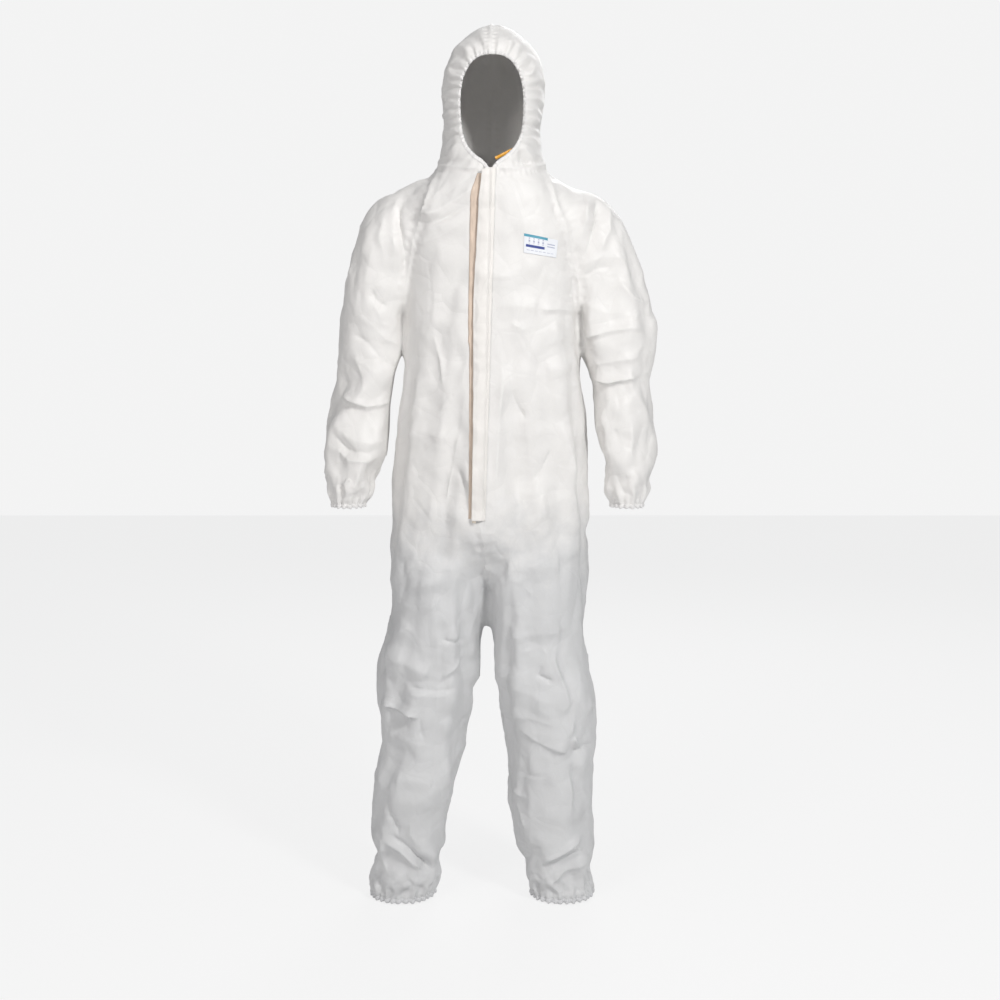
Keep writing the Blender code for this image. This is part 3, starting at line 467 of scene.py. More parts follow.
# Folds and packing creases on the front: kind (ridge, valley, tent or tucK), width and height in millimetres, and the line's x, z
FOLDS = [
    ('r', 9, 5, [(-0.017, 1.467), (-0.060, 1.436), (-0.103, 1.411), (-0.155, 1.392)]),
    ('v', 8, 4.5, [(-0.029, 1.436), (-0.077, 1.406), (-0.136, 1.383), (-0.165, 1.373)]),
    ('r', 7, 3.5, [(-0.032, 1.406), (-0.079, 1.376), (-0.132, 1.347), (-0.167, 1.322)]),
    ('r', 6, 3, [(-0.079, 1.469), (-0.117, 1.432), (-0.155, 1.411)]),
    ('v', 6, 3, [(-0.098, 1.472), (-0.136, 1.436), (-0.160, 1.418)]),
    ('r', 6, 2.5, [(-0.122, 1.352), (-0.146, 1.319), (-0.168, 1.286)]),
    ('v', 8, 7, [(-0.163, 1.423), (-0.181, 1.394), (-0.184, 1.368), (-0.176, 1.320), (-0.174, 1.272)]),
    ('r', 7, 4, [(-0.174, 1.423), (-0.194, 1.387), (-0.196, 1.354), (-0.190, 1.310)]),
    ('t', 14, 2.2, [(-0.120, 1.249), (-0.079, 1.251), (-0.034, 1.250)]),
    ('t', 14, 2.4, [(0.004, 1.233), (0.049, 1.233), (0.092, 1.229)]),
    ('k', 12, 4, [(0.092, 1.225), (0.130, 1.226), (0.176, 1.223)]),
    ('t', 10, 1.4, [(-0.122, 1.208), (-0.089, 1.201), (-0.053, 1.201)]),
    ('v', 9, 7, [(0.202, 1.414), (0.208, 1.371), (0.197, 1.334), (0.181, 1.296)]),
    ('r', 9, 5, [(0.185, 1.414), (0.183, 1.366), (0.171, 1.329)]),
    ('r', 8, 4, [(0.226, 1.400), (0.231, 1.352), (0.212, 1.310)]),
    ('v', 7, 4.5, [(0.179, 1.277), (0.208, 1.292), (0.246, 1.300)]),
    ('r', 8, 3, [(0.186, 1.300), (0.222, 1.310), (0.270, 1.315)]),
    ('t', 12, 2.2, [(0.097, 1.293), (0.130, 1.282), (0.166, 1.281)]),
    ('r', 6, 1.8, [(0.102, 1.272), (0.135, 1.253), (0.171, 1.243)]),
    ('v', 5, 2, [(0.135, 1.418), (0.147, 1.357), (0.157, 1.319)]),
    ('r', 6, 2.2, [(-0.118, 1.191), (-0.103, 1.130), (-0.099, 1.067)]),
    ('v', 5, 1.8, [(-0.079, 1.210), (-0.065, 1.149), (-0.052, 1.106)]),
    ('r', 6, 2.4, [(-0.039, 1.149), (-0.061, 1.082), (-0.114, 1.024)]),
    ('v', 6, 2, [(-0.056, 1.082), (-0.099, 1.034), (-0.123, 1.029)]),
    ('t', 14, 2, [(-0.176, 0.983), (-0.143, 0.988), (-0.095, 0.981)]),
    ('r', 10, 3.5, [(-0.062, 0.998), (-0.079, 0.937), (-0.100, 0.845)]),
    ('v', 9, 5, [(-0.075, 0.932), (-0.052, 0.879), (-0.044, 0.826)]),
    ('r', 6, 2, [(-0.147, 1.101), (-0.157, 1.053), (-0.171, 1.015)]),
    ('v', 5, 1.6, [(-0.165, 1.244), (-0.169, 1.187), (-0.180, 1.149)]),
    ('r', 8, 3, [(0.007, 1.182), (0.021, 1.106), (0.017, 1.034), (0.011, 0.947), (0.007, 0.840)]),
    ('v', 6, 2.2, [(0.035, 1.082), (0.057, 1.039), (0.074, 1.010)]),
    ('r', 6, 1.8, [(0.030, 1.206), (0.064, 1.187), (0.083, 1.149)]),
    ('t', 12, 1.8, [(0.112, 1.110), (0.150, 1.115), (0.183, 1.130)]),
    ('r', 8, 2.4, [(0.146, 1.010), (0.165, 0.952), (0.175, 0.889)]),
    ('v', 8, 2, [(0.084, 0.889), (0.112, 0.923), (0.132, 0.966)]),
    ('t', 12, 1.6, [(0.050, 0.983), (0.098, 0.988), (0.136, 0.995)]),
    ('v', 6, 3.5, [(-0.244, 1.266), (-0.234, 1.243), (-0.208, 1.231)]),
    ('r', 8, 4, [(-0.281, 1.224), (-0.247, 1.204), (-0.218, 1.173), (-0.186, 1.158)]),
    ('v', 8, 3.5, [(-0.286, 1.188), (-0.252, 1.166), (-0.223, 1.132), (-0.192, 1.112)]),
    ('r', 7, 3, [(-0.282, 1.146), (-0.263, 1.097), (-0.258, 1.058)]),
    ('r', 7, 3, [(-0.242, 1.253), (-0.223, 1.204), (-0.194, 1.195)]),
    ('k', 14, 8, [(-0.312, 1.066), (-0.283, 1.051), (-0.251, 1.040), (-0.228, 1.045), (-0.200, 1.054)]),
    ('r', 8, 4.5, [(-0.309, 1.012), (-0.283, 0.976), (-0.241, 0.968), (-0.203, 0.984)]),
    ('v', 7, 4, [(-0.313, 0.988), (-0.288, 0.954), (-0.246, 0.950), (-0.209, 0.966)]),
    ('r', 8, 4, [(-0.316, 0.963), (-0.286, 0.934), (-0.246, 0.932), (-0.212, 0.949)]),
    ('v', 6, 3, [(-0.297, 1.020), (-0.293, 0.981), (-0.268, 0.941)]),
    ('r', 5, 2, [(-0.264, 1.401), (-0.254, 1.354), (-0.279, 1.306)]),
    ('r', 6, 2.4, [(-0.206, 1.392), (-0.221, 1.339), (-0.212, 1.286)]),
    ('k', 13, 6.5, [(0.181, 1.175), (0.210, 1.180), (0.249, 1.191), (0.303, 1.197)]),
    ('r', 7, 3, [(0.186, 1.243), (0.230, 1.224), (0.293, 1.219)]),
    ('r', 6, 2.6, [(0.244, 1.286), (0.273, 1.253), (0.312, 1.243)]),
    ('r', 7, 3.5, [(0.196, 1.120), (0.245, 1.130), (0.298, 1.142)]),
    ('k', 13, 7, [(0.201, 1.097), (0.236, 1.088), (0.257, 1.093), (0.301, 1.102)]),
    ('r', 7, 4, [(0.237, 1.089), (0.241, 1.050), (0.228, 1.023), (0.238, 0.981)]),
    ('v', 7, 3.5, [(0.252, 1.079), (0.257, 1.040), (0.248, 1.001), (0.258, 0.967)]),
    ('r', 8, 3, [(0.279, 1.079), (0.274, 1.025), (0.285, 0.967), (0.280, 0.913)]),
    ('r', 6, 2.6, [(0.221, 1.001), (0.229, 0.952), (0.251, 0.908)]),
    ('v', 6, 2.5, [(0.301, 1.064), (0.304, 1.006), (0.297, 0.942)]),
    ('v', 8, 4, [(-0.003, 0.785), (0.016, 0.760), (0.036, 0.743)]),
    ('r', 8, 4, [(-0.011, 0.829), (0.016, 0.805), (0.060, 0.785)]),
    ('r', 7, 3.5, [(-0.052, 0.805), (-0.035, 0.765), (-0.018, 0.748)]),
    ('v', 6, 3, [(-0.042, 0.814), (-0.025, 0.780), (-0.016, 0.756)]),
    ('t', 16, 2.2, [(-0.184, 0.727), (-0.135, 0.726), (-0.052, 0.730)]),
    ('t', 16, 2.8, [(0.036, 0.728), (0.084, 0.728), (0.147, 0.730)]),
    ('r', 5, 2.4, [(0.079, 0.727), (0.104, 0.737), (0.121, 0.745)]),
    ('t', 26, 4.5, [(-0.130, 0.723), (-0.126, 0.658), (-0.114, 0.578), (-0.112, 0.483), (-0.118, 0.407), (-0.121, 0.279), (-0.126, 0.202), (-0.119, 0.099)]),
    ('r', 5, 2, [(-0.101, 0.759), (-0.099, 0.720), (-0.111, 0.670), (-0.145, 0.623), (-0.175, 0.613)]),
    ('r', 5, 1.6, [(-0.170, 0.670), (-0.184, 0.635), (-0.195, 0.610)]),
    ('v', 6, 2.2, [(-0.112, 0.588), (-0.077, 0.580), (-0.038, 0.578)]),
    ('t', 16, 4, [(-0.225, 0.542), (-0.176, 0.533), (-0.131, 0.513)]),
    ('v', 5, 3.5, [(-0.172, 0.487), (-0.112, 0.482), (-0.070, 0.488)]),
    ('r', 8, 3.2, [(-0.172, 0.474), (-0.112, 0.470), (-0.078, 0.477)]),
    ('r', 6, 4, [(-0.111, 0.500), (-0.073, 0.532), (-0.037, 0.556)]),
    ('k', 16, 8, [(-0.233, 0.439), (-0.207, 0.441), (-0.173, 0.434), (-0.143, 0.424)]),
    ('t', 14, 3, [(-0.213, 0.384), (-0.178, 0.376), (-0.141, 0.367)]),
    ('v', 6, 2.5, [(-0.140, 0.455), (-0.143, 0.414), (-0.138, 0.368)]),
    ('t', 10, 2, [(-0.190, 0.294), (-0.156, 0.295), (-0.123, 0.291)]),
    ('v', 10, 5, [(-0.214, 0.276), (-0.202, 0.220), (-0.184, 0.168)]),
    ('v', 9, 6.5, [(-0.213, 0.180), (-0.168, 0.146), (-0.138, 0.118), (-0.116, 0.084)]),
    ('r', 9, 6, [(-0.230, 0.166), (-0.185, 0.144), (-0.150, 0.107), (-0.128, 0.060)]),
    ('r', 6, 4, [(-0.237, 0.144), (-0.223, 0.107), (-0.208, 0.074)]),
    ('r', 6, 3, [(-0.159, 0.216), (-0.162, 0.180), (-0.145, 0.144)]),
    ('r', 7, 3, [(-0.099, 0.343), (-0.091, 0.276), (-0.104, 0.199)]),
    ('t', 20, 2.6, [(0.048, 0.724), (0.055, 0.660), (0.055, 0.510), (0.049, 0.409)]),
    ('r', 5, 3.2, [(0.036, 0.726), (0.060, 0.705), (0.097, 0.666)]),
    ('t', 14, 2.6, [(0.036, 0.593), (0.080, 0.595), (0.144, 0.597)]),
    ('r', 5, 2.5, [(0.055, 0.557), (0.105, 0.569), (0.120, 0.548)]),
    ('v', 5, 3.5, [(0.107, 0.538), (0.097, 0.513), (0.130, 0.497)]),
    ('r', 6, 3, [(0.144, 0.608), (0.130, 0.538), (0.142, 0.488), (0.155, 0.432), (0.158, 0.351)]),
    ('t', 16, 3, [(0.016, 0.513), (0.056, 0.485), (0.115, 0.457), (0.150, 0.436)]),
    ('r', 6, 2.5, [(0.056, 0.427), (0.095, 0.421), (0.135, 0.407)]),
    ('k', 18, 8.5, [(0.053, 0.402), (0.096, 0.376), (0.158, 0.344)]),
    ('v', 6, 5, [(0.159, 0.346), (0.183, 0.361), (0.208, 0.357)]),
    ('r', 6, 4, [(0.163, 0.389), (0.171, 0.361), (0.185, 0.348)]),
    ('v', 7, 6, [(0.164, 0.335), (0.169, 0.276), (0.179, 0.214)]),
    ('r', 7, 4, [(0.153, 0.322), (0.158, 0.261), (0.156, 0.204)]),
    ('r', 6, 3.5, [(0.188, 0.322), (0.186, 0.266), (0.199, 0.220)]),
    ('t', 12, 1.8, [(0.042, 0.312), (0.086, 0.312), (0.133, 0.308)]),
    ('t', 18, 3, [(0.073, 0.307), (0.077, 0.240), (0.076, 0.147)]),
    ('r', 6, 3, [(0.031, 0.265), (0.056, 0.256), (0.076, 0.260)]),
    ('r', 5, 2, [(0.037, 0.256), (0.056, 0.214), (0.067, 0.181)]),
    ('r', 9, 5.5, [(0.082, 0.087), (0.114, 0.128), (0.162, 0.154), (0.203, 0.178)]),
    ('v', 9, 5.5, [(0.098, 0.060), (0.129, 0.112), (0.172, 0.134), (0.202, 0.144)]),
    ('r', 7, 4, [(0.117, 0.060), (0.152, 0.097), (0.200, 0.113)]),
    ('v', 6, 4, [(0.080, 1.706), (0.072, 1.685), (0.061, 1.668)]),
    ('r', 7, 3, [(0.089, 1.701), (0.080, 1.682), (0.066, 1.662)]),
    ('v', 5, 4.5, [(0.085, 1.562), (0.073, 1.572), (0.062, 1.580)]),
    ('r', 7, 3.5, [(0.085, 1.555), (0.071, 1.562), (0.059, 1.566)]),
    ('v', 5, 3, [(-0.073, 1.681), (-0.066, 1.671), (-0.054, 1.663)]),
    ('r', 9, 4, [(0.054, 1.542), (0.066, 1.524), (0.085, 1.507)]),
    ('v', 8, 4, [(0.049, 1.533), (0.059, 1.512), (0.080, 1.496)]),
    ('r', 9, 4, [(-0.060, 1.549), (-0.076, 1.528), (-0.093, 1.510)]),
    ('v', 7, 3, [(-0.055, 1.538), (-0.067, 1.516), (-0.084, 1.498)]),
    ('r', 6, 2.5, [(-0.076, 1.577), (-0.067, 1.563), (-0.060, 1.554)]),
    ('r', 6, 2.6, [(-0.076, 1.626), (-0.064, 1.619), (-0.060, 1.609)]),
    ('v', 5, 2.6, [(-0.078, 1.600), (-0.067, 1.602), (-0.060, 1.600)]),
]

KIND_BACK = [
    # the same cloth on the back, hung from the shoulder blades and the seat
    ("r", 12, 4, [(-0.060, 1.420), (-0.100, 1.330), (-0.150, 1.240)]), ("r", 12, 4, [(0.070, 1.430), (0.105, 1.340), (0.150, 1.250)]),
    ("v", 10, 3, [(-0.020, 1.420), (-0.060, 1.300), (-0.120, 1.160)]), ("v", 10, 3, [(0.030, 1.400), (0.070, 1.290), (0.120, 1.180)]),
    ("t", 16, 2.4, [(-0.170, 1.232), (0.000, 1.236), (0.170, 1.230)]), ("t", 26, 4, [(-0.140, 0.700), (-0.140, 0.400), (-0.170, 0.060)]),
    ("t", 26, 4, [(0.100, 0.700), (0.120, 0.400), (0.130, 0.060)]), ("r", 12, 5, [(-0.015, 0.880), (-0.070, 0.800), (-0.150, 0.760)]),
    ("r", 12, 5, [(0.000, 0.880), (0.070, 0.800), (0.150, 0.765)]), ("v", 10, 5, [(-0.010, 0.820), (-0.060, 0.750), (-0.140, 0.700)]),
    ("v", 10, 5, [(0.000, 0.820), (0.055, 0.750), (0.130, 0.700)]), ("k", 16, 6, [(-0.225, 0.470), (-0.130, 0.452), (-0.040, 0.470)]),
    ("k", 16, 6, [(0.020, 0.462), (0.110, 0.446), (0.205, 0.468)]), ("r", 10, 4, [(-0.220, 0.430), (-0.150, 0.400), (-0.070, 0.420)]),
    ("r", 10, 4, [(0.040, 0.425), (0.120, 0.395), (0.190, 0.420)]), ("t", 14, 2.5, [(-0.210, 0.640), (-0.120, 0.645), (-0.020, 0.640)]),
    ("t", 14, 2.5, [(0.010, 0.640), (0.100, 0.643), (0.190, 0.640)]), ("r", 9, 5, [(-0.240, 0.160), (-0.180, 0.110), (-0.120, 0.080)]),
    ("v", 9, 5, [(-0.235, 0.130), (-0.180, 0.085), (-0.120, 0.060)]), ("r", 9, 5, [(0.200, 0.170), (0.140, 0.115), (0.075, 0.090)]),
    ("v", 9, 5, [(0.200, 0.140), (0.140, 0.090), (0.080, 0.065)]), ("r", 9, 4, [(-0.310, 1.120), (-0.260, 1.085), (-0.215, 1.090)]),
    ("v", 8, 4, [(-0.315, 1.095), (-0.262, 1.060), (-0.215, 1.065)]), ("r", 9, 4, [(0.325, 1.115), (0.270, 1.080), (0.220, 1.090)]),
    ("v", 8, 4, [(0.325, 1.090), (0.270, 1.058), (0.220, 1.066)]), ("r", 8, 3, [(-0.330, 1.000), (-0.280, 0.960), (-0.230, 0.970)]),
    ("r", 8, 3, [(0.325, 1.000), (0.280, 0.955), (0.230, 0.970)]), ("v", 9, 3, [(-0.085, 1.600), (-0.045, 1.545), (0.000, 1.530)]),
    ("v", 9, 3, [(0.090, 1.600), (0.050, 1.545), (0.005, 1.530)]), ("r", 10, 3, [(-0.090, 1.560), (-0.045, 1.515), (0.000, 1.500)]),
    ("r", 10, 3, [(0.095, 1.560), (0.050, 1.515), (0.005, 1.500)]),
]


FOLD_GAIN = {"r": 1.9, "v": 2.1, "t": 2.0, "k": 1.8}


def fold_relief(rest, normal, lines, facing):
    """Height added along the normal by each fold line, on the side that faces -Y (facing -1) or +Y (facing 1)."""
    out = np.zeros(len(rest))
    mask = smoothstep(-0.25, 0.30, normal[:, 1] * facing)
    arm = in_arm(rest)
    for kind, width, height, line in lines:
        w, h = width / 1000, height / 1000 * (0.85 + 0.3 * math.sin(37 * line[0][0] + 53 * line[0][1]))
        p = np.array(line)
        if abs(p[:, 0].mean()) < 0.07 and 0.68 < p[:, 1].mean() < 0.82 and facing < 0:
            h *= 0.4
        # a line drawn on a sleeve stays on that sleeve, and one on the body on the body
        mid = p[len(p) // 2]
        on_arm = bool(in_arm(np.array([[mid[0], 0, mid[1]]]))[0])
        lo, hi = p.min(0) - 4 * w, p.max(0) + 4 * w
        near = (rest[:, 0] > lo[0]) & (rest[:, 0] < hi[0]) & (rest[:, 2] > lo[1]) & (rest[:, 2] < hi[1]) & (mask > 0) & (arm == on_arm)
        if not near.any():
            continue
        q = rest[near][:, [0, 2]]
        best = np.full(len(q), 9.0)
        signed = np.zeros(len(q))
        along = np.zeros(len(q))
        lens = np.concatenate([[0], np.cumsum(np.linalg.norm(np.diff(p, axis=0), axis=1))])
        for k in range(len(p) - 1):
            ab = p[k + 1] - p[k]
            L = np.linalg.norm(ab)
            up = np.array([-ab[1], ab[0]]) / L
            if up[1] < 0:
                up = -up
            raw = ((q - p[k]) @ ab) / (L * L)
            t = np.clip(raw, 0, 1)
            off = q - p[k] - t[:, None] * ab
            r = np.linalg.norm(off, axis=1)
            m = r < best
            best[m] = r[m]
            signed[m] = (off @ up)[m]
            along[m] = (lens[k] + t * L)[m]
        total = lens[-1]
        ends = smoothstep(0, 0.22 * total + 0.004, along) * smoothstep(0, 0.22 * total + 0.004, total - along)
        wobble = 0.8 + 0.35 * np.sin(along / 0.021 + 7 * p[0][0] * 40)
        if kind == "r":
            f = np.exp(-np.abs(best / w) ** 1.35)
        elif kind == "v":
            f = -np.exp(-np.abs(best / w) ** 1.2)
        elif kind == "t":
            f = np.maximum(0, 1 - best / (2 * w)) ** 1.1
            ends = smoothstep(0, 0.06 * total, along) * smoothstep(0, 0.06 * total, total - along)
            wobble = 1.0
        else:
            s = np.where(best > np.abs(signed), best * np.sign(signed + 1e-9), signed)
            a = np.abs(s)
            f = np.where(s > 0, np.exp(-(a / w) ** 1.2), np.exp(-a / (0.30 * w)) * 1.55 - 0.55 * np.exp(-(a / (1.1 * w)) ** 1.5))
        out[near] += FOLD_GAIN[kind] * (0.8 if on_arm else 1.0) * h * f * ends * wobble * mask[near]
    return out


def facets(me, rest, spacing, seed):
    """A random height at each corner of a coarse random triangulation of the cloth, read linearly in between: flat facets with sharp creases, as in crushed paper."""
    bm = bmesh.new()
    bm.from_mesh(me)
    rng = np.random.default_rng(seed)
    for v, d in zip(bm.verts, rng.normal(0, spacing * 0.06, (len(bm.verts), 3))):
        v.co += Vector(d)
    whole = sum(f.calc_area() for f in bm.faces)
    coarse = bpy.data.meshes.new("coarse")
    bm.to_mesh(coarse)
    count = len(bm.faces)
    bm.free()
    o = bpy.data.objects.new("coarse", coarse)
    bpy.context.scene.collection.objects.link(o)
    m = o.modifiers.new("fewer", "DECIMATE")
    m.ratio = min(1.0, whole / (0.433 * spacing * spacing) / (count * 2))
    m.use_collapse_triangulate = True
    low = evaluated_mesh(o)
    bpy.data.objects.remove(o, do_unlink=True)
    co = coords(low)
    tris = np.array([tuple(p.vertices) for p in low.polygons])
    height = rng.uniform(-1, 1, len(co))
    tree = BVHTree.FromPolygons([Vector(c) for c in co], [tuple(int(i) for i in t) for t in tris])
    bpy.data.meshes.remove(low)
    found = [tree.find_nearest(Vector(p)) for p in rest]
    at = np.array([f[0][:] for f in found])
    tri = tris[[f[2] for f in found]]
    a, b, c = co[tri[:, 0]], co[tri[:, 1]], co[tri[:, 2]]
    v0, v1, v2 = b - a, c - a, at - a
    d00, d01, d11 = (v0 * v0).sum(1), (v0 * v1).sum(1), (v1 * v1).sum(1)
    d20, d21 = (v2 * v0).sum(1), (v2 * v1).sum(1)
    den = np.maximum(d00 * d11 - d01 * d01, 1e-15)
    v = (d11 * d20 - d01 * d21) / den
    w = (d00 * d21 - d01 * d20) / den
    return (1 - v - w) * height[tri[:, 0]] + v * height[tri[:, 1]] + w * height[tri[:, 2]]


def crumple(me, rest):
    """Facets and creases of stiff paper-like cloth, calm on the chest and strong at the elbows, hips, knees and hems."""
    x, y, z = rest.T
    arm = in_arm(rest)
    level = np.interp(z, [0.0, 0.10, 0.25, 0.42, 0.55, 0.66, 0.78, 0.90, 1.00, 1.20, 1.36, 1.44, 1.50, 1.56],
                      [0.9, 1.15, 0.75, 1.15, 0.95, 0.80, 0.75, 0.60, 0.62, 0.50, 0.50, 0.70, 0.45, 0.22])
    sleeve = np.interp(z, [0.84, 0.88, 0.95, 1.06, 1.15, 1.25, 1.38], [0.5, 1.0, 0.95, 1.25, 1.0, 1.15, 0.8])
    level = np.where(arm, sleeve, level)
    big = facets(me, rest, 0.105, 17)
    mid = facets(me, rest, 0.052, 29)
    fine = facets(me, rest, 0.026, 41)
    patch = np.clip(0.75 + 0.6 * field(rest, 0.14, 31.0), 0.15, 1.3)
    return level * (0.0068 * big + 0.0050 * mid * patch + 0.0021 * fine * patch)


def gathers(rest, normal):
    """Pleats that run out of the elastic edges, as height along the normal."""
    x, y, z = rest.T
    out = np.zeros(len(rest))
    arm = in_arm(rest)
    wob = field(rest, 0.030, 41.0)
    d, s, front = face_distance(rest)
    use = front & (d > -0.012) & (d < 0.075)
    ph = s + 0.004 * wob
    lower = smoothstep(1.52, 1.56, z)       # the V at the chin is hardly gathered
    fine = np.cos(2 * math.pi * ph / 0.0086 + 2.0 * field(rest, 0.05, 8.0)) * np.exp(-np.maximum(d, 0) / 0.013) * 0.0011
    long = np.cos(2 * math.pi * (ph + 0.003) / 0.0172 + 2.6 * field(rest, 0.06, 9.0)) * np.exp(-((d - 0.016) / 0.017) ** 2) * 0.0020
    big = np.cos(2 * math.pi * ph / 0.034 + 3.0 * field(rest, 0.09, 10.0)) * np.exp(-((d - 0.032) / 0.022) ** 2) * 0.0018
    out += np.where(use, (fine + long + big) * (0.30 + 0.70 * lower), 0)
    out += np.where(use, -0.0035 * np.exp(-np.maximum(d, 0) / 0.012) * lower, 0)
    # cuffs
    h = z - CUFF_Z
    ang = np.zeros(len(rest))
    for side, sgn in (("right", -1), ("left", 1)):
        t = np.array(SLEEVES[side])[::-1]
        m = arm & (np.sign(x) == sgn) & (h < 0.10)
        ang[m] = np.arctan2(y[m] - np.interp(z[m], t[:, 2], t[:, 1]), x[m] - np.interp(z[m], t[:, 2], t[:, 0]))
    m = arm & (h < 0.10)
    g = (np.cos(19 * ang + 1.5 * wob) * np.exp(-np.maximum(h, 0) / 0.014) * 0.0028
         + np.cos(9 * ang + 2.5 * wob) * np.exp(-((h - 0.024) / 0.020) ** 2) * 0.0034
         + np.cos(5 * ang + 3.0 * wob) * np.exp(-((h - 0.050) / 0.028) ** 2) * 0.0026)
    out += np.where(m, g, 0)
    # ankles
    h = z - HEM_Z
    for side, sgn in (("right", -1), ("left", 1)):
        t = np.array(LEGS[side])[::-1]
        m = ~arm & (np.sign(x) == sgn) & (h < 0.13)
        ang[m] = np.arctan2(y[m] - np.interp(z[m], t[:, 0], t[:, 2]), x[m] - np.interp(z[m], t[:, 0], t[:, 1]))
    m = ~arm & (h < 0.13) & (z < 0.3)
    g = (np.cos(31 * ang + 1.6 * wob) * np.exp(-np.maximum(h, 0) / 0.010) * 0.0026
         + np.cos(15 * ang + 2.5 * wob) * np.exp(-((h - 0.016) / 0.014) ** 2) * 0.0030
         + np.cos(7 * ang + 3.2 * wob) * np.exp(-((h - 0.040) / 0.026) ** 2) * 0.0034)
    out += np.where(m, g, 0)
    # the back waist
    m = ~arm & (y > -0.02) & (np.abs(z - 0.965) < 0.12)
    near = smoothstep(0.02, 0.06, y) * smoothstep(0.175, 0.140, np.abs(x))
    v = np.abs(z - 0.965)
    g = (np.cos(2 * math.pi * x / 0.0135 + 1.3 * wob) * np.exp(-(v / 0.020) ** 2) * 0.0020
         + np.cos(2 * math.pi * x / 0.027 + 2.2 * wob) * np.exp(-((v - 0.026) / 0.020) ** 2) * 0.0030
         + np.cos(2 * math.pi * x / 0.050 + 2.2 * wob) * np.exp(-((v - 0.055) / 0.030) ** 2) * 0.0025
         - 0.0060 * np.exp(-(v / 0.022) ** 2))
    out += np.where(m, g * near, 0)
    return out


def zip_x(z):
    """The x of the zip's centre line at a height."""
    k = (ZIP_TOP[0] - ZIP_BOTTOM[0]) / (ZIP_TOP[1] - ZIP_BOTTOM[1])
    return ZIP_BOTTOM[0] + (z - ZIP_BOTTOM[1]) * k


def middle_x(z):
    """The x of the seam between the suit's halves."""
    return np.interp(z, [-0.1, 0.730, 0.780, 0.830, 1.486, 1.506, 1.535, 2.0],
                     [-0.0100, -0.0100, -0.0170, -0.0262, -0.0062, -0.0056, -0.0020, -0.0020])


TILT = math.atan2(NECK_BACK[1] - NECK_FRONT[1], NECK_BACK[0] - NECK_FRONT[0])


def neck_height(co):
    """Height above the tilted plane of the neck seam."""
    return (co[:, 2] - NECK_FRONT[1]) * math.cos(TILT) - (co[:, 1] - NECK_FRONT[0]) * math.sin(TILT)


def arm_offset(co):
    x, z = np.abs(co[:, 0]), co[:, 2]
    line = np.interp(z, [0.78, 0.90, 0.99, 1.04, 1.11, 1.165, 1.215, 1.262, 1.50, 1.58],
                     [0.2095, 0.2095, 0.2035, 0.2010, 0.1905, 0.1830, 0.1815, 0.1800, 0.1035, 0.077])
    return x - line


def seam_relief(rest):
    """Sewn seams: a narrow ridge between two shallow dips, slightly puckered."""
    x, y, z = rest.T
    out = np.zeros(len(rest))

    def seam(dist, where, along, height=0.0012):
        a = np.abs(dist)
        pucker = 1 + 0.5 * np.sin(2 * math.pi * along / 0.017 + 3 * np.sin(along / 0.05))
        prof = np.exp(-(a / 0.0035) ** 2) * height - np.exp(-((a - 0.0085) / 0.006) ** 2) * height * 0.9 * pucker
        return np.where(where & (a < 0.03), prof, 0)

    arm = in_arm(rest)
    out += seam(arm_offset(rest) * 0.95, (z > 1.24) & (z < 1.52) & (np.abs(x) > 0.07), z, 0.0016)
    out += seam(neck_height(rest), (z > 1.44) & (z < 1.56) & (np.abs(x - zip_x(z)) > 0.02), x + y, 0.0016)
    mx = x - middle_x(z)
    out += seam(mx, (neck_height(rest) > 0.0), z + y, 0.0018)
    out += seam(mx, (z < 1.52) & (y > 0.0) & (z > 0.74), z, 0.0012)
    out += seam(mx, (z < 0.815) & (z > 0.70) & (y < 0.0), z, 0.0014)
    out += seam(y - SIDE_Y, ~arm & (z < 1.28), z, 0.0012)
    return out


def refine(bm, layer, test):
    """Splits the faces whose points all pass the test, once."""
    rest = np.array([v[layer] for v in bm.verts])
    ok = test(rest)
    edges = [e for e in bm.edges if ok[e.verts[0].index] and ok[e.verts[1].index]]
    bmesh.ops.subdivide_edges(bm, edges=edges, cuts=1, use_grid_fill=True)
    bm.verts.index_update()
    bm.edges.index_update()
    bm.faces.index_update()


def cut(bm, layer, value, where, remove=False):
    """Cuts the mesh along value = 0, measured on the unfolded rest shape, and can remove the part below 0."""
    bm.verts.index_update()
    rest = np.array([v[layer] for v in bm.verts])
    val = value(rest)
    m = where(rest)
    val = np.where(np.abs(val) < 4e-5, 4e-5, val)
    crossing = [(e, e.verts[0].index, e.verts[1].index) for e in bm.edges
                if m[e.verts[0].index] and m[e.verts[1].index] and (val[e.verts[0].index] > 0) != (val[e.verts[1].index] > 0)]
    new = []
    for e, i, j in crossing:
        v0 = e.verts[0]
        t = float(val[i] / (val[i] - val[j]))
        if v0.index != i:
            t = 1 - t
        made = bmesh.utils.edge_split(e, v0, min(max(t, 0.02), 0.98))
        new.append(made[1])
    bmesh.ops.connect_verts(bm, verts=new)
    bm.verts.index_update()
    if remove:
        gone = []
        faces = list(bm.faces)
        c = np.array([np.mean([v[layer] for v in f.verts], axis=0) for f in faces])
        bad = (value(c) < 0) & where(c)
        for f, b in zip(faces, bad):
            if b:
                gone.append(f)
        bmesh.ops.delete(bm, geom=gone, context="FACES")
        bm.verts.index_update()
    bm.edges.index_update()
    bm.faces.index_update()


SHARP = [f for f in FOLDS if f[0] != "t"]


